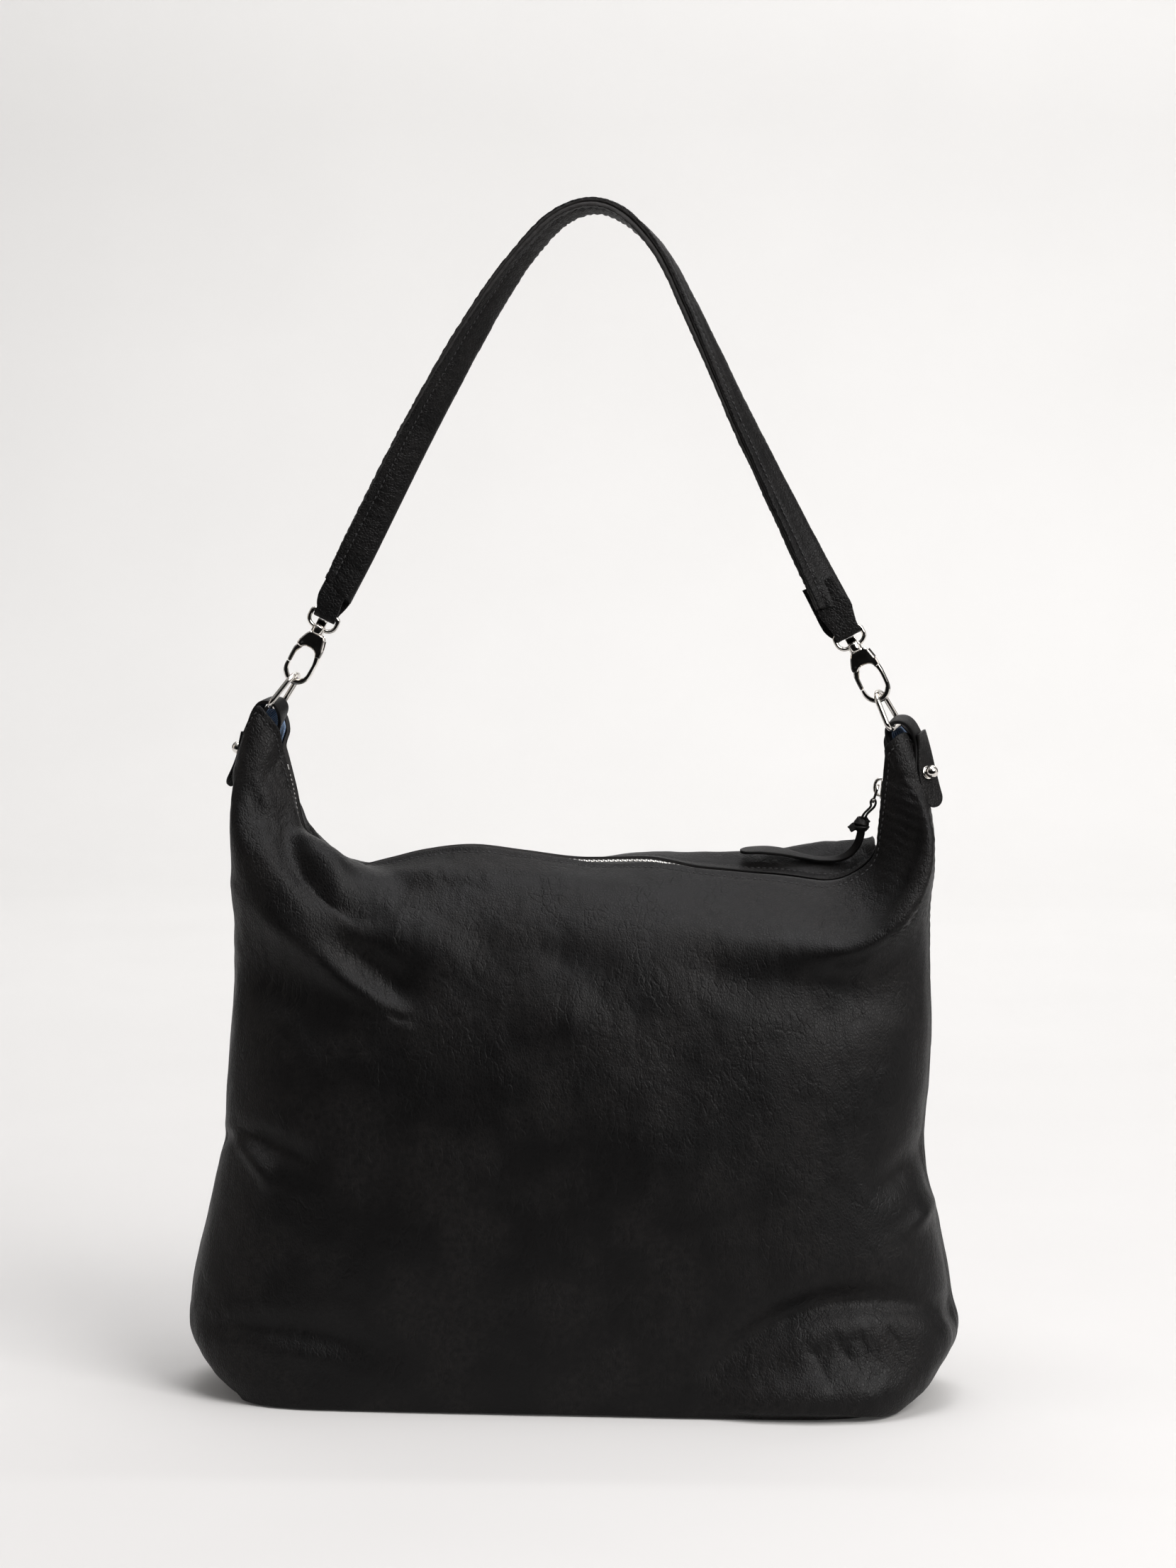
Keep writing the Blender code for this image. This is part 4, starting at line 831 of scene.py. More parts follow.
# a fold of the left horn stands up in front of the lip; the back swells behind the zip on the right
FRONT_LIFT = [(-162, 0), (-150, 3), (-139, 9), (-128, 10), (-117, 6), (-104, 2), (-92, 0)]
BACK_LIFT = [(-140, 0), (-60, 0), (0, 0), (60, 0)]
BACK_LEAST = [(-70, 276), (-30, 281), (5, 287), (34, 292), (70, 292.4), (95, 293), (113, 294.6), (130, 298), (142, 299.6), (153, 301), (164, 303)]
front_rows = panel_rows(MOUTH_FL, MOUTH_FR, TEETH_SHOW, FRONT_LIFT, None)
FRONT, front_amount = dressed_panel(front_rows, FRONT_FOLDS, seen_at, 11, 1.0)

BACK_FOLDS = [
    ([(-150, 330), (-135, 292), (-105, 272), (-70, 262)], [1, 5, 5, 0], [9, 11, 13]),
    ([(-165, 320), (-158, 285), (-135, 262), (-100, 250)], [-1.5, -5, -6, 0], [10, 13, 15]),
    ([(182, 330), (176, 285), (150, 258), (118, 246)], [1.5, 5, 5, 0], [8, 10, 12]),
    ([(170, 300), (150, 275), (120, 262)], [0, -4, 0], [10, 13]),
    ([(-190, 235), (-150, 215), (-105, 180)], [0, 4.5, 0], [11, 13]),
    ([(-150, 235), (-120, 205), (-85, 185)], [0, -4, 0], [12, 14]),
    ([(200, 120), (165, 108), (130, 112)], [-2, -4, 0], [10, 12]),
    ([(200, 100), (170, 92), (135, 85)], [1, 3.5, 0], [8, 10]),
    ([(-205, 66), (-160, 72), (-110, 62), (-75, 42)], [-3, -6.5, -6, 0], [10, 12, 12]),
    ([(-195, 42), (-150, 46), (-105, 36), (-80, 24)], [1, 5, 4, 0], [9, 12, 10]),
    ([(205, 58), (165, 56), (120, 42)], [-3, -5, 0], [9, 11]),
    ([(195, 36), (150, 34), (110, 24)], [1.5, 3.5, 0], [8, 9]),
    ([(-60, 236), (0, 240), (60, 238)], [0, 2.6, 0], [20, 24]),
    ([(20, 190), (40, 140), (30, 90)], [0, -2.4, 0], [26, 30]),
    ([(-60, 170), (-50, 120), (-70, 80)], [0, 2.2, 0], [26, 30]),
]
back_rows = panel_rows(MOUTH_BL, MOUTH_BR, None, BACK_LIFT, BACK_LEAST)
BACK, back_amount = dressed_panel(back_rows, BACK_FOLDS, lambda g: g[..., [0, 2]], 57, 0.7)
SIDES = {"front": (FRONT, front_amount, np.ones(3)), "back": (BACK, back_amount, FLIP)}

for side, (g, amount, flip) in SIDES.items():
    outer, inner = cloth_between(g, 0.0, LEATHER_T)
    inner[:, 0, 1] = np.minimum(inner[:, 0, 1], -0.3)
    inner[:, -1, 1] = np.minimum(inner[:, -1, 1], -0.3)
    inner[..., 2] = np.maximum(inner[..., 2], 0.9)
    verts, faces = shell(outer * flip, inner * flip)
    geo = Geo()
    mats = [np.zeros(len(f), int) for f in faces]
    mats[3][:] = 1
    geo.add(verts, faces, mat=mats, pebble=np.clip(np.concatenate([amount.ravel()] * 2), 0.35, 1.6))
    ob = geo.made("leather_panel_" + side, [LEATHER, RAW_EDGE], "bag", (side + "_panel",))

# base, inside the turned edge
o = section(0.0, 163.0, 163.0, 57.0, 7.0)[::12]
o = np.concatenate([o[:-1], (o * FLIP)[::-1][:-1]])
rings = [o * np.array([k, k, 1]) + np.array([0, 0, z]) for k, z in ((0.30, 0.55), (0.80, 0.45), (0.985, 0.3), (0.997, 0.6), (1.0, 1.2), (0.99, 2.0), (0.6, 2.1))]
geo = Geo()
geo.add(*skin(rings))
geo.made("leather_base", LEATHER, "bag", ("base_panel",))


# ---- lining -------------------------------------------------------------------------------
def lining(side):
    g, amount, flip = SIDES[side]
    cols = np.unique(np.concatenate([np.arange(0, 44), np.arange(44, NU - 44, 4), np.arange(NU - 44, NU)]))
    n = blurred(grid_normals(g), 4)
    near = np.minimum(np.arange(NU), NU - 1 - np.arange(NU))
    deep = g - n * (2.5 + 1.2 * step(30, 46, near))[None, :, None]
    u = np.concatenate([[0.0], np.cumsum(np.linalg.norm(np.diff(g[-1], axis=0), axis=1))])
    ends = np.minimum(u, u[-1] - u)
    out = []
    for j in cols:
        col = deep[6:, j]
        L = along(col)[-1]
        stop = L - (0.7 + 9.9 * step(44, 58, ends[j]))
        out.append(at_lengths(col, np.linspace(0, stop, 120)))
    f = np.array(out).transpose(1, 0, 2)
    f[:, 0, 1] = np.minimum(f[:, 0, 1], -0.9)
    f[:, -1, 1] = np.minimum(f[:, -1, 1], -0.9)
    nn = blurred(grid_normals(f), 3)
    inner = f - nn * 0.7
    inner[..., 1] = np.minimum(inner[..., 1], -0.5)
    uu, vv = row_lengths(f)
    grain = np.stack([uu, vv, np.zeros_like(uu)], axis=2)
    verts, faces = shell(f * flip, inner * flip)
    geo = Geo()
    geo.add(verts, faces, grain=np.concatenate([grain.reshape(-1, 3)] * 2))
    ob = geo.made("denim_lining_" + side, DENIM, "bag", ("lining_" + side,))
    a = np.linalg.norm(np.cross(f[1:, :-1] - f[:-1, :-1], f[:-1, 1:] - f[:-1, :-1]), axis=2)
    b = np.linalg.norm(np.cross(f[:-1, 1:] - f[1:, 1:], f[1:, :-1] - f[1:, 1:]), axis=2)
    area = float((a.sum() + b.sum()) / 2) * 1e-6
    return ob


lining("front")
lining("back")
k = 0
geo = Geo()
o = section(0.0, 158.0, 158.0, 53.0, 6.0)[::16]
o = np.concatenate([o[:-1], (o * FLIP)[::-1][:-1]])
rings = np.array([o * np.array([s, s, 1]) + np.array([0, 0, z]) for s, z in ((0.4, 2.4), (0.8, 2.4), (1.0, 2.45), (1.0, 3.1), (0.8, 3.1), (0.4, 3.1))])
v, f = skin(rings)
geo.add(v, f, grain=v)
ob = geo.made("denim_lining_base", DENIM, "bag", ("lining_base",))


# ---- stitching ----------------------------------------------------------------------------
def stitch_row(geo, path, normal, pitch=3.3, length=2.3, wide=0.42, lift=0.0):
    """Thread stitches laid along a path on a surface with outward normals."""
    a = along(path)
    s = np.arange(pitch, a[-1] - pitch, pitch)
    c = at_lengths(path, s)
    d = unit(at_lengths(path, s + 0.6) - at_lengths(path, s - 0.6))
    n = unit(np.stack([np.interp(s, a, normal[:, k]) for k in range(3)], axis=1))
    ang = np.linspace(0, 2 * math.pi, 8, endpoint=False)
    for q, t, m in zip(c, d, n):
        w = unit(np.cross(m, t))
        rings = []
        for e, r, h in ((-0.5, 0.35, -0.45), (-0.42, 0.8, -0.12), (-0.2, 1.0, 0.08), (0.2, 1.0, 0.08), (0.42, 0.8, -0.12), (0.5, 0.35, -0.45)):
            rings.append([q + t * e * length + m * (lift + h * 0.8) + wide * r * (math.cos(b) * w + 0.8 * math.sin(b) * m) for b in ang])
        v, f = skin(rings)
        g = np.zeros((len(v), 3))
        g[:, 0] = (v - q) @ t
        g[:, 1] = (v - q) @ w * 2
        geo.add(v, f, grain=g)


for side, (g, amount, flip) in SIDES.items():
    u, v = row_lengths(g)
    n = blurred(grid_normals(g), 2)
    path, nor = [], []
    for j in range(3, NU - 3):
        a = v[:, j]
        k = a[-1] - 4.6
        path.append([np.interp(k, a, g[:, j, c]) for c in range(3)])
        nor.append([np.interp(k, a, n[:, j, c]) for c in range(3)])
    geo = Geo()
    stitch_row(geo, np.array(path) * flip, np.array(nor) * flip)
    geo.made("zip_edge_stitches_" + side, THREAD, "bag")

# ---- zip ----------------------------------------------------------------------------------
CHAIN = np.linspace(S_LEFT + 14.5, S_RIGHT - 14.5, 420)
for side, (g, amount, flip) in SIDES.items():
    u, v = row_lengths(g)
    n = blurred(grid_normals(g), 4)
    cols = np.arange(NU)
    ex = g[-1, :, 0]
    pick = [j for j in range(14, NU - 14)]
    e = g[-1, pick] - n[-1, pick] * 2.75
    under = np.array([[np.interp(v[-1, j] - 9.0, v[:, j], (g - n * 3.0)[:, j, c]) for c in range(3)] for j in pick])
    half_under = np.array([[np.interp(v[-1, j] - 4.0, v[:, j], (g - n * 2.9)[:, j, c]) for c in range(3)] for j in pick])
    # the zip's own line beside each place of the edge
    line, ln = zip_at(CHAIN, CHAIN_DEEP)
    near = np.array([int(np.argmin((line[:, 0] - q[0]) ** 2 + (line[:, 1] - q[2]) ** 2)) for q in g[-1, pick]])
    near = np.maximum.accumulate(near)
    keep = np.concatenate([[False], np.diff(near) > 0])
    keep[np.flatnonzero(near == near[0])[-1]] = True
    near, e, under, half_under = near[keep], e[keep], under[keep], half_under[keep]
    p0 = np.stack([line[near, 0], np.full(len(near), -1.9), line[near, 1]], axis=1)
    p1 = np.stack([line[near, 0], np.full(len(near), -3.4), line[near, 1]], axis=1)
    bead = np.stack([ln[near, 0], np.zeros(len(near)), ln[near, 1]], axis=1)
    mid = 0.5 * (p1 + e) + bead * 0.1
    cross = np.array([p0, 0.6 * p0 + 0.4 * p1 + bead * 0.25, p1, mid, e, half_under, under])
    nn = np.array([bead, bead, bead, unit(bead + n[-1, pick][keep]), n[-1, pick][keep], n[-1, pick][keep], n[-1, pick][keep]])
    hi, lo = cross + nn * 0.28, cross - nn * 0.28
    uu, vv = row_lengths(cross)
    grain = np.stack([uu, vv, np.zeros_like(uu)], axis=2).reshape(-1, 3)
    vt, f = shell(hi * flip, lo * flip)
    geo = Geo()
    geo.add(vt, f, grain=np.concatenate([grain, grain]))
    ob = geo.made("zip_tape_" + side + "_cloth", TAPE, "bag", ("zip_tape_" + side,))
    a = np.linalg.norm(np.cross(cross[1:, :-1] - cross[:-1, :-1], cross[:-1, 1:] - cross[:-1, :-1]), axis=2)
    b = np.linalg.norm(np.cross(cross[:-1, 1:] - cross[1:, 1:], cross[1:, :-1] - cross[1:, 1:]), axis=2)
    area = float((a.sum() + b.sum()) / 2) * 1e-6
    length = float(uu[:, -1].mean()) * MM

PITCH = 2.6
tooth_s = np.arange(S_LEFT + 15.5, S_RIGHT - 15.5, PITCH)
for side, sg, off in (("front", -1.0, 0.0), ("back", 1.0, PITCH / 2)):
    c, n = zip_at(tooth_s + off, CHAIN_DEEP)
    c2, _ = zip_at(tooth_s + off + 0.5, CHAIN_DEEP)
    geo = Geo()
    for (x, z), (nx, nz), (x2, z2) in zip(c, n, c2):
        t = unit(np.array([x2 - x, 0, z2 - z]))
        m = np.array([nx, 0, nz])
        base = np.array([x, 0, z])
        rings = []
        for y, a, b in ((2.55, 0.55, 1.15), (2.3, 0.85, 1.35), (1.2, 0.85, 1.35), (0.7, 0.62, 1.15), (0.1, 0.62, 1.1), (-0.45, 0.86, 1.2), (-0.75, 0.6, 0.9)):
            pts = [(-0.6, -1), (0.6, -1), (1, -0.6), (1, 0.6), (0.6, 1), (-0.6, 1), (-1, 0.6), (-1, -0.6)]
            rings.append([base + np.array([0, sg * y, 0]) + t * a * i + m * b * j for i, j in pts])
        geo.add(*skin(rings))
    geo.made("zip_teeth_%s_row" % side, ZIP_METAL, "bag", ("zip_teeth_" + side,), sharp=50)

for name, s0, s1 in (("left", S_LEFT + 10.4, S_LEFT + 14.0), ("right", S_RIGHT - 14.0, S_RIGHT - 10.4)):
    c, n = zip_at([s0, s1], CHAIN_DEEP)
    t = unit(np.array([c[1, 0] - c[0, 0], 0, c[1, 1] - c[0, 1]]))
    m = np.array([n[0, 0], 0, n[0, 1]])
    mid = np.array([c[:, 0].mean(), 0, c[:, 1].mean()])
    out = soft_outline([(-2.4, -1.8), (2.4, -1.8), (2.4, 1.8), (-2.4, 1.8)], 48, 0.9)
    geo = Geo()
    geo.add(*plate(out, 3.0, lambda x, y, z: mid + np.array([0, x, 0]) + m * y + t * z, 0.7, 5))
    geo.made("zip_end_" + name, ZIP_METAL, "bag", ("zip_stop_" + name,), sharp=60)

# slider
SLIDER_Z, SLIDER_L, SLIDER_HALF_W = 332.0, 11.0, 4.6
slide_dir = unit(np.array([0.0881, 0.0, 1.0]))
out_dir = np.array([-slide_dir[2], 0.0, slide_dir[0]])
slide_mid = np.array([166.2 + 0.0881 * (SLIDER_Z - 301.0), 0.0, SLIDER_Z]) - CHAIN_DEEP * out_dir
across_dir = np.array([0, 1.0, 0])


def slider_space(a, b, c):
    return slide_mid + a * slide_dir + b * across_dir + c * out_dir


L, w = SLIDER_L / 2, SLIDER_HALF_W
shield = [(-w * 0.72, -L), (-w * 0.8, -L * 0.3), (-w, L * 0.45), (-w * 0.9, L * 0.85), (-w * 0.45, L), (0, L * 0.84),
          (w * 0.45, L), (w * 0.9, L * 0.85), (w, L * 0.45), (w * 0.8, -L * 0.3), (w * 0.72, -L)]
shield = soft_outline(shield, 72, 0.9)
top0 = 1.5
geo = Geo()
geo.add(*plate(shield, 1.5, lambda x, y, z: slider_space(z, x, top0 + 0.75 + y), 0.55, 5))
geo.add(*plate(shield, 1.3, lambda x, y, z: slider_space(z, x, -top0 - 0.65 + y), 0.5, 5))
web = soft_outline([(-0.3, 0.5), (0.3, 0.5), (0.3, 4.0), (-0.3, 4.0)], 20, 0.15)
geo.add(*plate(web, 2 * top0 + 1.2, lambda x, y, z: slider_space(z, x, y), 0.1, 2))
for sg in (-1, 1):
    flange = soft_outline([(-4.6, -0.45), (2.2, -0.45), (2.2, 0.45), (-4.6, 0.45)], 30, 0.3)
    geo.add(*plate(flange, 1.6, lambda x, y, z: slider_space(x, sg * (w * 0.74 + 0.2 + 0.05 * (x + 4.6)) + z * 0.9, top0 - 0.3 + y), 0.2, 3))
arch = np.array([(0.6 + 4.5 * math.copysign(abs(math.cos(t)) ** 0.8, math.cos(t)), top0 + 0.9 + 3.9 * math.sin(t) ** 0.8) for t in np.linspace(0.001, math.pi - 0.001, 33)])
arch = np.array([slider_space(a, 0, c) for a, c in arch])
geo.add(*skin(tube_rings(arch, 0.85, 14, normal=across_dir)))
geo.made("zip_slider_body", NICKEL, "zip_slider", ("zip_slider",), sharp=60)

pull_pivot = slider_space(1.4, 0, top0 + 2.9)
pull_down = unit(np.array([-0.30, 0.0, -0.954]))
pull_out = np.cross(pull_down, across_dir)
PULL_L, PULL_W = 9.5, 6.0
r = PULL_W / 2
kk = PULL_L / 2 - r
centre = pull_pivot + pull_down * PULL_L / 2
oval = []
for t in np.linspace(0, 2 * math.pi, 64, endpoint=False):
    oval.append(centre + across_dir * r * math.cos(t) + pull_down * (r * math.sin(t) + kk * math.tanh(6 * math.sin(t))))
oval = np.array(oval)
t = tangents(oval, True)
rings = []
for q, d in zip(oval, t):
    s = unit(np.cross(d, pull_out))
    rings.append([q + s * 0.62 * math.copysign(abs(math.cos(a)) ** 0.7, math.cos(a)) + pull_out * 0.75 * math.copysign(abs(math.sin(a)) ** 0.7, math.sin(a))
                  for a in np.linspace(0, 2 * math.pi, 16, endpoint=False)])
geo = Geo()
geo.add(*skin(rings, True))
geo.made("zip_pull_link", NICKEL, "zip_pull", ("zip_pull_ring",))


# ---- thong --------------------------------------------------------------------------------
def strap_rings(path, width, thick, up, round_edge=0.35, crown=0.0):
    """Loops of a flat leather strip: a path, widths and upward hints for each point."""
    p = np.asarray(path, float)
    t = tangents(p)
    wd = np.broadcast_to(np.asarray(width, float), (len(p),))
    hints = np.broadcast_to(np.asarray(up, float), (len(p), 3))
    rings = []
    for q, d, ww, h in zip(p, t, wd, hints):
        n = unit(h - d * (h @ d))
        a = np.cross(d, n)
        e = min(round_edge, thick / 2 * 0.95)
        loop = []
        half, tt = ww / 2, thick / 2
        for k in np.linspace(-1, 1, 7)[1:-1]:
            loop.append((k * (half - e), tt + crown * (1 - k * k)))
        for b in np.linspace(90, -90, 7):
            loop.append((half - e + e * math.cos(math.radians(b)), math.copysign(tt - e, math.sin(math.radians(b)) + 1e-9) + e * math.sin(math.radians(b)) if abs(b) > 1 else 0.0))
        for k in np.linspace(1, -1, 7)[1:-1]:
            loop.append((k * (half - e), -tt))
        for b in np.linspace(270, 90, 7):
            loop.append((-half + e + e * math.cos(math.radians(b)), math.copysign(tt - e, math.sin(math.radians(b)) - 1e-9) + e * math.sin(math.radians(b)) if abs(b - 180) > 1 else 0.0))
        rings.append([q + a * x + n * y for x, y in loop])
    return np.array(rings)


def strip_into(geo, path, width, thick, up, pebble=1.0, wobble=0.0, seed=0, round_edge=0.35, crown=0.0):
    rings = strap_rings(path, width, thick, up, round_edge, crown)
    v, f = skin(rings)
    if wobble:
        v = v + wobble * np.stack([fractal(v / 2.2 + 5.0 * k, seed + k, 2) for k in range(3)], axis=1)
    geo.add(v, f, grain=skin_grain(rings), pebble=pebble)


loop_end = pull_pivot + pull_down * (PULL_L - 0.4)
KNOT = np.array([158.4, 2.6, 312.2])
geo = Geo()
bar = loop_end
# two strands from the pull ring down to the knot
over = [KNOT + (1.6, 0.0, 1.5), (161.1, 0.2, 317.6), bar + (0.8, 0.0, -2.6), bar + (1.35, 0, -0.3), bar + (0.2, 0, 1.35), bar + (-1.2, 0, 0.0),
        bar + (-1.2, 0.2, -2.6), (159.7, 0.9, 318.2), KNOT + (-1.0, 0.4, 1.5)]
path = even(spline(over, 14), 70)
hint = np.array([across_dir] * len(path))
t = tangents(path)
ups = np.cross(t, hint)
strip_into(geo, path, 3.4, 1.15, ups, 0.6, 0.10, 5)
# the knot: two turns round the strands and a short cut end
a = np.linspace(0, 4.0 * math.pi, 60)
turns = np.stack([KNOT[0] + 2.9 * np.cos(a), KNOT[1] + 2.5 * np.sin(a), KNOT[2] + np.linspace(2.4, -2.4, 60) + 0.9 * np.sin(a * 0.5)], axis=1)
outw = unit(turns - KNOT)
strip_into(geo, turns, 3.6, 1.5, outw, 0.6, 0.28, 6)
core = np.array([KNOT + (0.4, 0, 4.0), KNOT + (0, 0, 1.5), KNOT + (-0.2, 0.3, -1.5), KNOT + (0.1, 0.4, -4.0)])
v, f = skin(tube_rings(even(spline(core, 8), 20), np.linspace(2.0, 2.3, 20), 16))
geo.add(v + 0.25 * np.stack([fractal(v / 1.5 + k, 8 + k, 2) for k in range(3)], axis=1), f, pebble=0.6)
tail = np.array([KNOT + (-1.5, -0.4, -0.4), KNOT + (-4.2, -1.0, -1.2), KNOT + (-6.6, -1.2, -2.8)])
path = even(spline(tail, 8), 16)
strip_into(geo, path, 3.8, 1.7, (0.2, -0.7, 0.6), 0.6, 0.45, 9)
knot = geo.made("zip_thong_knot", [SMOOTH_LEATHER], "zip_pull", ride=False)
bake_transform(knot)

# the strip from the knot down the corner and along the back of the top to its paddle
route = [KNOT + (-0.3, 0.3, -2.0), (157.6, 4.6, 306.0), (155.2, 7.6, 299.8), (151.2, 9.8, 295.2), (145.5, 11.6, 292.6),
         (136.0, 12.4, 291.8), (126.0, 12.6, 293.2), (115.0, 12.8, 295.6), (104.0, 12.6, 296.6), (92.0, 12.2, 296.0)]
path = even(spline(route, 12), 120)
s = along(path)
share = s / s[-1]
width = 4.4 + 6.4 * step(0.52, 0.84, share)
width = width * np.sqrt(np.clip(1 - (np.clip(share - 0.935, 0, 1) / 0.0655) ** 2, 0.02, 1))
ups = np.stack([np.interp(share, [0, 0.12, 0.25, 0.4, 1.0], c) for c in ((-0.35, -0.35, -0.40, -0.20, 0.0), (-0.93, -0.88, -0.72, -0.42, -0.14), (0.1, 0.3, 0.56, 0.88, 0.99))], axis=1)
geo = Geo()
strip_into(geo, path, width, 1.7, ups, 0.7, 0.0, 0, 0.4, 0.12)
strip = geo.made("zip_thong_strip", [SMOOTH_LEATHER], "bag", ("zip_thong",), ride=False)
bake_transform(strip)

# ---- tabs, patches and studs ----------------------------------------------------------------
PIVOT = {"left": (-151.6, 388.3), "right": (168.5, 380.2)}
RING_BAR = {"left": (-162.2, 373.4), "right": (176.2, 364.8)}
TAB_T, TAB_W, PATCH_T, STUD_Z, FOLD_R = 2.0, 12.0, 1.6, -24.3, 3.6


def tab_frame(side):
    """Place on a tab from (out, along the bar, up): turned at the bar, its legs twisting as they run down."""
    sg = 1.0 if side == "right" else -1.0
    yaw0, yaw_in, yaw_run, yaw_out, tip0 = (12.0, 0.0, 24.0, 50.0, 13.0) if side == "right" else (20.0, -9.0, 24.0, 24.0, 9.0)
    b = np.array([RING_BAR[side][0], 0.0, RING_BAR[side][1]])

    def turned(yaw, tip):
        yaw, tip = math.radians(yaw), math.radians(tip)
        f = np.array([math.cos(tip) * math.sin(yaw), math.cos(tip) * math.cos(yaw), math.sin(tip)])
        o = np.array([math.cos(yaw), -math.sin(yaw), 0.0])
        return o * sg, f, np.cross(o, f)

    def axes(oo, zz, end=None):
        tip = tip0 * (1.0 - step(0.0, -22.0, zz))
        inner = yaw0 + (yaw_in - yaw0) * step(1.0, -13.0, zz)
        outer = yaw0 + ((yaw_out if end is None else end) - yaw0) * step(2.0, -30.0, zz)
        return turned(inner + (outer - inner) * step(0.0, 5.0, oo), tip)

    def place(oo, ff, zz):
        o, f, u = axes(oo, zz, yaw_run)
        return b + o * oo + axes(oo, zz)[1] * ff + u * zz

    return place, axes, b


INNER_LEG = {"left": [(2.4, -31.0), (1.2, -24.0), (-0.6, -17.0), (-2.8, -10.5), (-4.8, -5.5), (-5.4, -0.5), (-3.2, 3.2)],
             "right": [(1.9, -30.0), (0.9, -23.0), (-0.8, -16.0), (-2.6, -9.0), (-3.8, -4.0), (-3.4, 0.8), (-0.8, 3.8)]}
OUTER_LEG = {"left": [(1.6, 4.2), (5.2, 3.5), (8.2, 0.9), (10.6, -2.6), (12.3, -6.4), (13.8, -11.0), (15.0, -16.0), (16.4, -22.0), (18.4, -28.5), (21.0, -34.2), (23.4, -38.6)],
             "right": [(2.6, 4.8), (6.0, 4.3), (9.0, 1.8), (11.2, -2.4), (13.0, -7.4), (14.6, -13.5), (16.0, -20.0), (17.4, -26.0), (18.9, -31.5), (20.2, -35.6)]}
for side in ("left", "right"):
    place, axes, bar = tab_frame(side)
    line = even(spline(INNER_LEG[side] + OUTER_LEG[side], 12), 130)
    s = along(line)
    t = tangents(line)
    n = np.stack([-t[:, 1], t[:, 0]], axis=1)
    wide = np.interp(s, [0, 24, 34, 46, s[-1] - 4, s[-1]], [9.0, 10.0, 12.4, TAB_W, TAB_W, TAB_W - 1.5])

    def laid(points, normals):
        p = np.array([place(a, 0.0, b) for a, b in points])
        ax = [axes(a, b) for a, b in points]
        return p, np.array([x[0] * a + x[2] * b for x, (a, b) in zip(ax, normals)])

    path, ups = laid(line, n)
    geo = Geo()
    strip_into(geo, path, wide, TAB_T, ups, 0.8, 0.0, 0, 0.55, 0.1)
    geo.made("ring_tab_%s_leather" % side, [SMOOTH_LEATHER], "bag", ("ring_tab_" + side,))
    k = int(np.argmin(np.abs(line[:, 1] - STUD_Z) + 100 * (line[:, 0] < 4)))
    over = line + n * (TAB_T / 2 + 0.25 + PATCH_T / 2)
    if side == "right":
        above = [over[k] - t[k] * a + n[k] * 0.0004 * a * a for a in np.linspace(22.0, 2.0, 18)]
    else:
        above = [q + 0.3 * m for q, m in zip(over[k - 15:k - 3:2], n[k - 15:k - 3:2])]
    below = list(over[k::2]) + [over[-1] + t[-1] * a for a in (2.5, 5.0, 7.2)]
    pl = even(spline(np.array(above + below), 4), 80)
    ps = along(pl)
    pt = tangents(pl)
    pn = np.stack([-pt[:, 1], pt[:, 0]], axis=1)
    pw = np.full(len(ps), TAB_W + 0.6) + 0.8 * step(10, 0, ps)
    pw = pw * np.sqrt(np.clip(1 - (np.clip(ps - (ps[-1] - 6.2), 0, 6.2) / 6.25) ** 2, 0.03, 1))
    path, ups = laid(pl, pn)
    geo = Geo()
    strip_into(geo, path, pw, PATCH_T, ups, 1.2, 0.0, 0, 0.5, 0.15)
    geo.made("stud_patch_%s_leather" % side, [STRAP_LEATHER], "bag", ("stud_patch_" + side,))
    o3, f3, u3 = axes(line[k, 0], line[k, 1])
    a3 = o3 * n[k, 0] + u3 * n[k, 1]
    b3 = np.cross(a3, f3)
    at3 = place(line[k, 0], 0, line[k, 1])
    z0 = TAB_T / 2 + 0.25 + PATCH_T + 0.1
    c = z0 + 3.5
    prof = [(0.0, -1.0), (1.4, -1.0), (1.4, z0), (3.3, z0), (3.6, z0 + 0.2), (3.65, z0 + 0.5), (3.4, z0 + 0.75), (2.6, z0 + 0.95), (2.2, z0 + 1.05)]
    prof += [(3.5 * math.cos(a), c + 3.5 * math.sin(a)) for a in np.radians(np.linspace(-45, 89, 26))] + [(0.0, c + 3.5)]
    geo = Geo()
    geo.add(*skin(lathe(prof, lambda x, y, z: at3 + x * b3 + y * f3 + z * a3, 40)))
    geo.made("ball_stud_" + side, NICKEL, "bag", ("stud_" + side,), sharp=55)

    # oval ring
    top = np.array([PIVOT[side][0], 0.0, PIVOT[side][1]])
    bb = bar
    d = unit(top - bb)
    f_dir = axes(0.0, 0.0)[1]
    f_dir = unit(f_dir - d * (f_dir @ d))
    length = np.linalg.norm(top - bb) + 1.75 + 0.9 + 1.5
    hw, rl, rt = 9.5, 4.5, 7.0
    pts = [(hw - rl + rl * math.cos(a), rl + rl * math.sin(a)) for a in np.radians(np.linspace(-90, 0, 14))]
    pts += [(rt * math.cos(a), length - rt + rt * math.sin(a)) for a in np.radians(np.linspace(12, 168, 30))]
    pts += [(-hw + rl + rl * math.cos(a), rl + rl * math.sin(a)) for a in np.radians(np.linspace(180, 270, 14))]
    ring = np.array([bb + f_dir * a + d * b for a, b in pts])
    ring = even(np.vstack([ring, ring[:1]]), 97)[:-1]
    geo = Geo()
    geo.add(*skin(tube_rings(ring, 1.5, 20, True, normal=np.cross(f_dir, d)), True))
    geo.made("oval_ring_" + side, NICKEL, "ring_" + side, ("ring_" + side,))


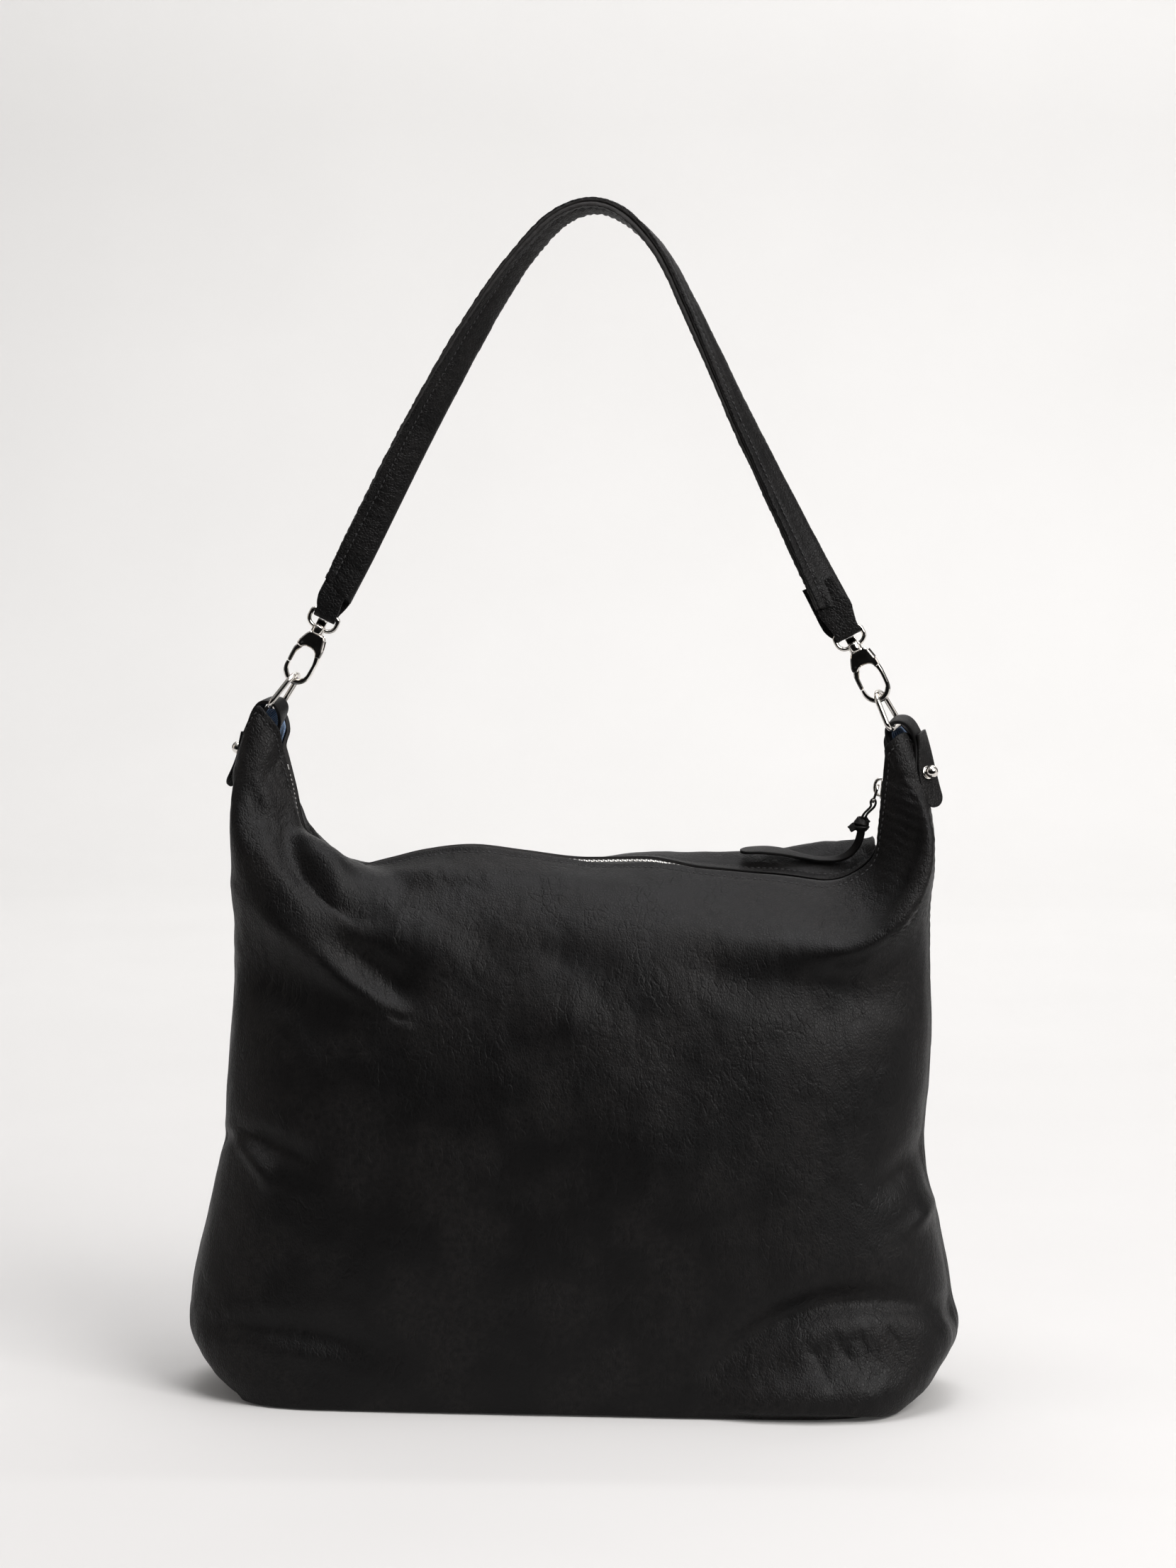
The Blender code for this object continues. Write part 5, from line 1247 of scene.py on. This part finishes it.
# ---- hooks --------------------------------------------------------------------------------
def hook_frame(side):
    a = math.radians(27.3) * (1.0 if side == "left" else -1.0)
    ez = np.array([math.sin(a), 0.0, math.cos(a)])
    ex = np.array([math.cos(a), 0.0, -math.sin(a)])
    p = np.array([PIVOT[side][0], 0.0, PIVOT[side][1]])
    return (lambda x, y, z: p + ex * x + np.array([0, 1.0, 0]) * y + ez * z), ez, ex


FACETS = [(0.5, -0.17), (0.5, 0.17), (0.22, 0.5), (-0.34, 0.5), (-0.5, 0.28), (-0.5, -0.28), (-0.34, -0.5), (0.22, -0.5)]


def bevelled_sweep(line, wide, thick, place):
    """A bar with a bevelled section, its wide bevels outside, along a line in the hook's plane."""
    t = tangents(line)
    n = np.stack([t[:, 1], -t[:, 0]], axis=1)
    rings = []
    for q, m, w2, h2 in zip(line, n, wide, thick):
        loop = []
        for i, (a, c) in enumerate(FACETS):
            a2, c2 = FACETS[(i + 1) % len(FACETS)]
            for e in (0.06, 0.5, 0.94):
                p2 = q + m * (a + (a2 - a) * e) * w2
                loop.append(place(p2[0], (c + (c2 - c) * e) * h2, p2[1]))
        rings.append(loop)
    return skin(np.array(rings))


def slab(outline, layers, place):
    """Solid through copies of an outline (x', z') drawn in by set amounts at set depths y'."""
    o = np.asarray(outline, float)
    if np.sum(o[:, 0] * np.roll(o[:, 1], -1) - np.roll(o[:, 0], -1) * o[:, 1]) < 0:
        o = o[::-1]
    t = tangents(o, True)
    n = np.stack([t[:, 1], -t[:, 0]], axis=1)
    rings = np.array([[place(x, y, z) for x, z in o - n * inset] for inset, y in layers])
    nr, m = rings.shape[:2]
    return rings.reshape(-1, 3), [grid_faces(nr, m, wrap_u=True), np.arange(m)[::-1][None], (np.arange(m) + (nr - 1) * m)[None]]


def pocket(mid, long, wide, face, size, rim, thick, deep):
    """A small block with a rectangular recess sunk in its face."""
    def loop(a, b, c):
        return [mid + long * s * a / 2 + wide * w * b / 2 + face * c for s, w in ((-1, -1), (1, -1), (1, 1), (-1, 1))]
    a, b = size
    rings = [loop(a, b, -thick), loop(a, b, -0.12), loop(a - 0.24, b - 0.24, 0.0), loop(a - 2 * rim, b - 2 * rim, 0.0), loop(a - 2 * rim - 0.1, b - 2 * rim - 0.1, -deep)]
    return skin(np.array(rings))


EYE_R, ARM, NOSE_Z, GATE_PIN = 5.6, 2.4, 8.7, (-4.7, 21.4)
LOOP_Z0, LOOP_Z1, LOOP_HALF_W, LOOP_WIRE = 32.3, 41.2, 8.7, 1.2
for side in ("left", "right"):
    place, ez, ex = hook_frame(side)
    c = 7.35
    arc = [(6.8 * math.cos(a), c + c * math.sin(a)) for a in np.radians(np.linspace(180, 360, 25))]
    line = [(-6.8, NOSE_Z)] + arc + [(6.95, 11.0), (6.9, 14.5), (6.3, 18.0), (5.3, 21.0), (4.4, 23.5), (3.9, 25.5)]
    line = even(spline(line, 8), 90)
    s = along(line) / along(line)[-1]
    wide = np.interp(s, [0, 0.05, 0.33, 0.52, 0.68, 0.82, 0.92, 1.0], [2.1, 2.4, 3.4, 2.5, 2.5, 3.2, 4.6, 5.4])
    thick = np.interp(s, [0, 0.10, 0.33, 0.6, 0.85, 1.0], [2.6, 3.0, 3.0, 3.6, 4.2, 4.4])
    geo = Geo()
    geo.add(*bevelled_sweep(line, wide, thick, place))
    head = soft_outline([(-3.2, 29.3), (4.6, 29.3), (6.0, 27.6), (7.0, 24.5), (7.8, 21.0), (8.0, 17.4), (5.2, 16.6), (4.7, 18.4), (3.4, 19.8), (1.2, 20.5),
                         (-1.4, 20.6), (-3.2, 19.8), (-4.6, 18.6), (-7.2, 19.6), (-7.0, 22.0), (-5.8, 25.0), (-4.6, 27.6)], 150, 0.8)
    for sg in (-1, 1):
        geo.add(*slab(head, [(0.25, sg * 1.33), (0.0, sg * 1.5), (0.0, sg * 1.75), (0.65, sg * 2.4)], place))
    core = soft_outline([(-3.4, 29.0), (4.3, 29.0), (5.7, 27.4), (6.7, 24.4), (7.4, 20.9), (7.6, 17.8), (5.5, 17.2), (5.0, 18.8), (3.6, 20.2), (1.2, 20.9),
                         (-1.5, 20.9), (-1.8, 22.6), (-2.5, 24.2), (-4.2, 26.0)], 120, 0.5)
    geo.add(*slab(core, [(0.0, -1.36), (0.0, 1.36)], place))
    zero = place(0, 0, 0)
    up_side = place(-0.21, 0, 0.978) - zero
    face = place(0.86, -0.48, 0.185) - zero
    geo.add(*pocket(place(6.95, -1.55, 24.7), up_side, np.cross(face, up_side), face, (5.6, 2.7), 0.36, 1.3, 1.0))
    geo.made("hook_%s_forging" % side, NICKEL, "hook_" + side, ("hook_body_" + side,), sharp=28)
    # a near-black plate laid in the recess: painted shade in the slot, not the metal's own colour
    geo = Geo()
    geo.add(*pocket(place(6.95, -1.55, 24.7) - face * 0.12, up_side, np.cross(face, up_side), face, (4.94, 2.04), 0.3, 0.5, 0.05))
    geo.made("hook_%s_recess" % side, RECESS_SHADE, "hook_" + side, sharp=28)

    r1, r0 = EYE_R + ARM - 0.2, EYE_R + 0.1
    gate_line = soft_outline([(-r1, NOSE_Z + 0.3), (-r1 - 0.1, 13.0), (-r1 + 0.1, 17.5), (-6.4, 20.2), (-6.3, 22.2), (-5.4, 23.2),
                              (-4.0, 23.3), (-3.0, 22.4), (-2.9, 21.0), (-3.6, 18.8), (-r0 + 0.2, 15.0), (-r0, NOSE_Z + 0.3)], 96, 0.7)
    geo = Geo()
    geo.add(*slab(gate_line, [(0.6, -1.25), (0.0, -0.6), (0.0, 0.6), (0.6, 1.25)], place))
    geo.made("gate_%s_lever" % side, NICKEL, "gate_" + side, ("gate_" + side,), sharp=28)

    def pin_space(x, y, z, place=place):
        return place(GATE_PIN[0] + x, z, GATE_PIN[1] + y)

    geo = Geo()
    geo.add(*skin(lathe([(0, -2.46), (0.4, -2.44), (0.66, -2.36), (0.7, -2.2), (0.7, 2.2), (0.66, 2.36), (0.4, 2.44), (0, 2.46)], pin_space, 24)))
    geo.made("gate_%s_rivet" % side, ZIP_METAL, "hook_" + side, ("gate_pin_" + side,), sharp=50)
    leaf = soft_outline([(-2.45, 20.4), (-2.35, 22.9), (-2.0, 22.9), (-2.1, 20.4)], 24, 0.1)
    geo = Geo()
    geo.add(*plate(leaf, 1.8, place, 0.08, 2))
    geo.made("gate_%s_leaf" % side, ZIP_METAL, "hook_" + side, ("gate_spring_" + side,), sharp=50)

    z0, z1 = LOOP_Z0, LOOP_Z1
    prof = [(0, 23.6), (1.2, 23.6), (1.2, z0 + 2.6), (0, z0 + 2.6)]
    geo = Geo()
    geo.add(*skin(lathe(prof, place, 36)))
    block = soft_outline([(-2.6, z0 + 1.6), (2.6, z0 + 1.6), (2.6, z0 + 5.0), (-2.6, z0 + 5.0)], 60, 0.5)
    geo.add(*slab(block, [(0.3, -1.55), (0.0, -1.25), (0.0, 1.25), (0.3, 1.55)], place))
    for sg in (-1.0, 1.0):
        geo.add(*pocket(place(0, sg * 2.1, z0 + 3.3), place(sg, 0, 0) - zero, place(0, 0, 1) - zero, place(0, sg, 0) - zero, (5.2, 3.4), 0.75, 0.6, 0.55))
    geo.made("swivel_%s_stem" % side, NICKEL, "hook_" + side, ("swivel_stem_" + side,), sharp=50)

    wl = LOOP_HALF_W - 0.8
    pts = []
    for cx, cz, a0, rr in ((wl, z0, -90, 4.6), (wl, z1, 0, 2.2), (-wl, z1, 90, 2.2), (-wl, z0, 180, 4.6)):
        sx = 1 if cx > 0 else -1
        zc = cz + rr if cz == z0 else cz - rr
        for t in np.radians(np.linspace(a0, a0 + 90, 14)):
            pts.append((cx - sx * rr + rr * math.cos(t), zc + rr * math.sin(t)))
    path = np.array([place(x, 0, z) for x, z in pts])
    path = even(np.vstack([path, path[:1]]), 121)[:-1]
    geo = Geo()
    geo.add(*skin(tube_rings(path, LOOP_WIRE, 18, True, normal=np.array([0, 1.0, 0])), True))
    collar = [(2.2, z0 - 3.4), (3.1, z0 - 3.4), (3.5, z0 - 3.1), (3.62, z0 - 2.6), (3.62, z0 + 0.8), (3.4, z0 + 1.25), (3.0, z0 + 1.45), (2.2, z0 + 1.5)]
    rings = lathe(collar, place, 44)
    v, f = skin(rings, True)
    geo.add(v, f)
    geo.made("strap_loop_%s_wire" % side, NICKEL, "strap", ("strap_loop_" + side,), sharp=55)

# ---- shoulder strap -------------------------------------------------------------------------
STRAP_W, STRAP_T, BODY0 = 19.5, 5.0, 3.6 + 14.0
(e_l, d_l), (e_r, d_r) = [(hook_frame(s)[0](0, 0, LOOP_Z1), hook_frame(s)[1]) for s in ("left", "right")]
route = [tuple((e_l - d_l * 3.6)[[0, 2]]), tuple(e_l[[0, 2]]), tuple((e_l + d_l * 9)[[0, 2]]), (-110.1, 469.4), (-78.5, 530.7), (-43.3, 591.6), (-21.6, 621.9),
         (-4.9, 638.2), (12.1, 644.4), (27.5, 640.4), (47.4, 621.7), (64.2, 591.4), (92.8, 530.8), (122.7, 470.1),
         tuple((e_r + d_r * 9)[[0, 2]]), tuple(e_r[[0, 2]]), tuple((e_r - d_r * 3.6)[[0, 2]])]
strap_curve = spline(route, 24)
STRAP_L = along(strap_curve)[-1]
APEX = float(along(strap_curve)[int(np.argmax(strap_curve[:, 1]))])


# the strap is twisted along its length: inner face to the front on the left leg, outer face on the right
TWIST = [(-1, -90), (-0.93, -88), (-0.8, -76), (-0.68, -67), (-0.55, -58), (-0.42, -48), (-0.29, -35), (-0.16, -24), (0, -13), (0.1, -3), (0.2, 6), (0.31, 14),
         (0.44, 22), (0.57, 30), (0.7, 38), (0.83, 47), (0.91, 62), (0.965, 88), (1, 90)]
twist_at = np.linspace(-1, 1, 801)
twist = np.interp(twist_at, *np.array(TWIST, float).T)
twist = np.convolve(np.pad(twist, 20, mode="edge"), np.ones(41) / 41, "valid")


def strap_swell(s):
    """Thickening of the strap in the bend and at the ends where the loops' bands lie inside."""
    ends = 0.42 * step(20, 0, s - BODY0) + 0.26 * step(20, 0, STRAP_L - BODY0 - s)
    return 1.0 + ends + 0.22 * np.exp(-((s - APEX - 50.0) / 55.0) ** 2)


def strap_at(s):
    """Middle of the strap, its direction, the way across it and its inner face, at lengths."""
    q = at_lengths(strap_curve, s)
    d = unit(at_lengths(strap_curve, s + 2.0) - at_lengths(strap_curve, s - 2.0))
    turn = np.radians(np.interp(np.where(s < APEX, (s - APEX) / APEX, (s - APEX) / (STRAP_L - APEX)), twist_at, twist))
    inward = np.stack([d[:, 1], np.zeros(len(s)), -d[:, 0]], axis=1)
    y = np.array([0.0, 1.0, 0.0])
    c, sn = np.cos(turn)[:, None], np.sin(turn)[:, None]
    return (np.stack([q[:, 0], np.zeros(len(s)), q[:, 1]], axis=1), np.stack([d[:, 0], np.zeros(len(s)), d[:, 1]], axis=1),
            y * c - inward * sn, inward * c + y * sn)


def strap_section():
    """Folded strap: raw two-layer edge at -1, rounded fold at +1; (across, half thickness sign, share)."""
    pts = []
    face = [(-9.75, 1.95), (-9.55, 2.25), (-9.0, 2.42), (-7.6, 2.45), (-6.2, 2.30), (-5.3, 2.02), (-4.9, 1.92), (-4.5, 2.02), (-3.4, 2.34), (-1.5, 2.62),
            (1.0, 2.78), (3.4, 2.86), (5.6, 2.86), (7.2, 2.66), (8.4, 2.22), (9.2, 1.58), (9.6, 0.85), (9.75, 0.0)]
    pts += face
    pts += [(a, -b) for a, b in face[:-1][::-1]]
    pts += [(-9.8, -1.2), (-9.65, -0.5), (-9.0, -0.18), (-8.6, 0.0), (-9.0, 0.18), (-9.65, 0.5), (-9.8, 1.2)]
    return np.array(pts)


SEC = strap_section()
stations = np.linspace(BODY0, STRAP_L - BODY0, 460)
P, D, A, F = strap_at(stations)
rings = np.zeros((len(stations), len(SEC), 3))
ends = np.minimum(stations - stations[0], stations[-1] - stations)
swell = strap_swell(stations)
wide = 1.0 - 0.05 * step(26, 0, ends)
for k in range(len(SEC)):
    a, b = SEC[k]
    slant = -0.34 * a * step(30, 0, ends) * np.where(stations < APEX, 1.0, -1.0)
    s2 = np.clip(stations + slant, BODY0 - 5, STRAP_L - BODY0 + 5)
    p2, d2, a2, f2 = strap_at(s2)
    rings[:, k] = p2 + a2 * (a * wide)[:, None] + f2 * (b * swell)[:, None]
v, f = skin(rings)
n_body = len(stations) * len(SEC)
s_all = np.repeat(stations, len(SEC))
a_all = np.tile(SEC[:, 0], len(stations))
b_all = np.tile(SEC[:, 1], len(stations))
F_all = np.repeat(F, len(SEC), axis=0)
A_all = np.repeat(A, len(SEC), axis=0)
# crosswise creases, strongest on the squeezed inner side of the bend, and a lengthwise crease on the right leg
q = np.stack([s_all, a_all * 1.0, np.sign(b_all) * 40.0], axis=1)
cross = np.sin(2 * math.pi * (s_all / 4.4 + 0.45 * fractal(q / 9.0, 21, 2)))
bend = np.exp(-((s_all - APEX) / 55.0) ** 2)
inner_face = np.clip(b_all / 2.4, 0, 1)
h = 0.16 * cross * inner_face * (0.45 + 1.6 * bend) * step(-9.5, -3.0, a_all)
f1, f2c = cells(q / np.array([4.6, 3.6, 8.0]), 33)
h += -0.22 * np.exp(-((f2c - f1) / 0.14) ** 2) * step(0.3, 1.8, np.abs(b_all))
right_leg = step(APEX + 40, APEX + 110, s_all)
h += -0.75 * np.exp(-((a_all - 1.0 - 0.8 * value_noise(q / 30.0, 3)) / 0.9) ** 2) * right_leg * np.clip(-b_all / 2.4, 0, 1)
h += 0.25 * fractal(q / np.array([16.0, 9.0, 9.0]), 77, 2) * step(0.3, 1.8, np.abs(b_all))
body = v[:n_body] + F_all * (h * np.sign(b_all))[:, None]
fray = np.where(a_all < -8.8, 0.32 * fractal(np.stack([s_all / 1.7, b_all, a_all * 0], axis=1), 91, 2), 0.0)
body = body + A_all * fray[:, None]
v = np.vstack([body, v[n_body:]])
geo = Geo()
mats = [np.zeros(len(x), int) for x in f]
seg = np.arange(len(f[0])) % len(SEC)
mats[0][(seg >= 35) | (seg == 0)] = 1
geo.add(v, f, mat=mats, pebble=1.25)
geo.made("shoulder_strap_leather", [STRAP_LEATHER, RAW_EDGE], "strap", ("shoulder_strap",))

geo = Geo()
for sg in (1.0, -1.0):
    s = np.arange(BODY0 + 5, STRAP_L - BODY0 - 5, 1.1)
    P, D, A, F = strap_at(s)
    path = P + A * -4.9 + F * (sg * 1.98 * strap_swell(s))[:, None]
    stitch_row(geo, path, F * sg, lift=0.05)
geo.made("strap_stitches", THREAD, "strap")

# bands that hold the strap's wire loops
for side in ("left", "right"):
    sgn = 1.0 if side == "left" else -1.0
    legs = [(30, 1.0), (22, 1.5), (15, 2.3), (9, 2.75), (4.5, 2.85)]
    pts = [(e, -b) for e, b in legs] + [(2.75 * math.cos(a), 2.75 * math.sin(a)) for a in np.radians(np.linspace(-80, -280, 15))] + [(e, b) for e, b in reversed(legs)]
    line = even(spline(pts, 8), 110)
    s0 = np.array([3.6]) if side == "left" else np.array([STRAP_L - 3.6])
    P, D, A, F = strap_at(s0)
    origin = hook_frame(side)[0](0, 0, LOOP_Z1)
    up, fc = hook_frame(side)[1], F[0]
    path = np.array([origin + up * a + fc * b for a, b in line])
    t = tangents(line)
    n = np.stack([-t[:, 1], t[:, 0]], axis=1)
    ups = np.array([up * a + fc * b for a, b in n])
    # the leg behind widens into the strap's own back layer, to one side
    behind = step(0.8, -0.8, line[:, 1] * sgn)
    e = line[:, 0]
    if side == "left":
        width = 12.6 + behind * 2.8 * step(0, 12, e) + (1 - behind) * 1.6 * step(1, 9, e)
        shift = behind * 1.2 * step(0, 12, e) - (1 - behind) * 1.7 * step(1, 10, e) * step(26, 16, e)
    else:
        width = 14.2 + behind * 3.4 * step(-2, 8, e) + (1 - behind) * (4.2 * step(1, 13, e) - 4.0 * step(14.5, 21, e))
        shift = -behind * 2.5 * step(-3, 7, e)
    path = path + A[0] * shift[:, None]
    geo = Geo()
    rings = strap_rings(path, width, 1.9, ups, 0.55, 0.0)
    v, f = skin(rings)
    v = v + 0.12 * np.stack([fractal(v / 2.6 + 4 * k, 60 + k, 2) for k in range(3)], axis=1)
    geo.add(v, f, pebble=1.5)
    geo.made("strap_band_" + side, [STRAP_LEATHER], "strap")

# ---- floor, light and camera ----------------------------------------------------------------
geo = Geo()
prof = [(-430, 0.0), (-320, 0.0), (-200, 0.0), (300, 0.0), (1300, 0.0), (2500, 0.0)]
prof += [(2500 + 900 * math.sin(a), 900 - 900 * math.cos(a)) for a in np.radians(np.linspace(6, 90, 18))] + [(3400, 2400), (3400, 4600)]
rows = np.array([[(x, y, z) for x in np.linspace(-3600, 3600, 9)] for y, z in prof], float)
v = rows.reshape(-1, 3)
geo.add(v, [grid_faces(len(prof), 9)])
k = Look("studio_paper")
p = k.here()
k.put(k.b.inputs["Base Color"], k.mix(k.noise(p, 0.004, 2.0), (0.575, 0.5675, 0.560), (0.605, 0.597, 0.589)))
k.b.inputs["Roughness"].default_value = 0.9
k.b.inputs["Specular IOR Level"].default_value = 0.1
k.b.inputs["Emission Color"].default_value = (1.0, 0.985, 0.975, 1.0)
k.b.inputs["Emission Strength"].default_value = 0.04
floor = geo.made("studio_floor", k.m, ride=False)
# the paper goes on towards the viewer; that part throws no light back on the bag
geo = Geo()
rows = np.array([[(x, y, 0.0) for x in np.linspace(-3600, 3600, 9)] for y in (-4200, -2200, -430)], float)
geo.add(rows.reshape(-1, 3), [grid_faces(3, 9)])
apron = geo.made("studio_floor_front", k.m, ride=False)
apron.visible_glossy = False
apron.visible_diffuse = False
# pale paper round the open sides of the studio, which throws no light or shade on the bag either
turn = [(3600 - 900 + 900 * math.cos(a), -4200 + 900 - 900 * math.sin(a)) for a in np.radians(np.linspace(0, 90, 10))]
plan = [(3600, 3400)] + turn + [(-x, y) for x, y in turn[::-1]] + [(-3600, 3400)]
geo = Geo()
geo.add(np.array([[(x, y, z) for x, y in plan] for z in (0, 2300, 4600)], float).reshape(-1, 3), [grid_faces(3, len(plan))])
k = Look("studio_side_paper")
k.put(k.b.inputs["Base Color"], k.mix(k.noise(k.here(), 0.004, 2.0), (0.575, 0.5675, 0.560), (0.605, 0.597, 0.589)))
k.b.inputs["Roughness"].default_value = 0.9
k.b.inputs["Specular IOR Level"].default_value = 0.1
k.b.inputs["Emission Color"].default_value = (1.0, 0.985, 0.975, 1.0)
k.b.inputs["Emission Strength"].default_value = 0.62
around = geo.made("studio_side_wall", k.m, ride=False)
around.visible_glossy = False
around.visible_diffuse = False
around.visible_transmission = False
around.visible_shadow = False


def area_light(name, place, aim, size, power, colour=(1, 1, 1)):
    d = bpy.data.lights.new(name, "AREA")
    d.shape = "RECTANGLE"
    d.size, d.size_y = size
    d.energy = power
    d.color = colour
    o = bpy.data.objects.new(name, d)
    bpy.context.scene.collection.objects.link(o)
    from mathutils import Vector
    a, b = Vector(place), Vector(aim)
    o.location = a
    o.rotation_mode = "QUATERNION"
    o.rotation_quaternion = (b - a).to_track_quat("-Z", "Y")
    return o


area_light("key_softbox", (1.7, -1.9, 1.9), (0.0, 0.0, 0.25), (1.6, 1.6), 84, (1.0, 0.985, 0.975))
area_light("overhead_softbox", (0.20, -0.25, 2.1), (0.0, 0.05, 0.2), (1.3, 1.1), 24, (0.985, 0.975, 1.0))
area_light("left_fill", (-2.2, -0.2, 0.9), (0.0, 0.0, 0.2), (0.8, 1.4), 3.2, (1.0, 0.90, 0.82))
area_light("right_fill", (2.1, -0.15, 0.95), (0.0, 0.0, 0.2), (0.9, 1.4), 5, (1.0, 0.97, 0.95))
area_light("paper_light", (0.3, 1.7, 2.9), (0.2, 3.4, 1.3), (3.4, 0.9), 101)

world = bpy.data.worlds.new("studio")
bpy.context.scene.world = world
world.use_nodes = True
wt = world.node_tree
bg = wt.nodes["Background"]
tc = wt.nodes.new("ShaderNodeTexCoord")
sep = wt.nodes.new("ShaderNodeSeparateXYZ")
wt.links.new(tc.outputs["Generated"], sep.inputs[0])
ramp = wt.nodes.new("ShaderNodeMapRange")
ramp.interpolation_type = "SMOOTHSTEP"
wt.links.new(sep.outputs["Z"], ramp.inputs["Value"])
for n, x in zip(("From Min", "From Max", "To Min", "To Max"), (0.25, 0.95, 0.006, 0.45)):
    ramp.inputs[n].default_value = x
# pale walls to the left and right, darkness in front
sides = wt.nodes.new("ShaderNodeMath")
sides.operation = "ABSOLUTE"
wt.links.new(sep.outputs["X"], sides.inputs[0])
wall = wt.nodes.new("ShaderNodeMapRange")
wall.interpolation_type = "SMOOTHSTEP"
wt.links.new(sides.outputs[0], wall.inputs["Value"])
for n, x in zip(("From Min", "From Max", "To Min", "To Max"), (0.72, 0.98, 0.0, 0.14)):
    wall.inputs[n].default_value = x
total = wt.nodes.new("ShaderNodeMath")
wt.links.new(ramp.outputs["Result"], total.inputs[0])
wt.links.new(wall.outputs["Result"], total.inputs[1])
wt.links.new(total.outputs[0], bg.inputs["Strength"])
bg.inputs["Color"].default_value = (1.0, 0.99, 0.98, 1.0)

cam_data = bpy.data.cameras.new("camera")
cam_data.sensor_fit = "VERTICAL"
cam_data.sensor_width = 36.0
cam_data.sensor_height = 36.0
cam_data.lens = 36.0 * FOCAL / 2212.0
cam_data.clip_end = 50.0
cam = bpy.data.objects.new("camera", cam_data)
bpy.context.scene.collection.objects.link(cam)
from mathutils import Matrix, Vector
rot = Matrix((cam_r, cam_u, -cam_f)).transposed()
cam.matrix_world = Matrix.Translation(Vector(CAM * MM)) @ rot.to_4x4()
bpy.context.scene.camera = cam
bpy.context.scene.view_settings.view_transform = "Standard"
bpy.context.scene.view_settings.look = "None"

bpy.context.view_layer.update()
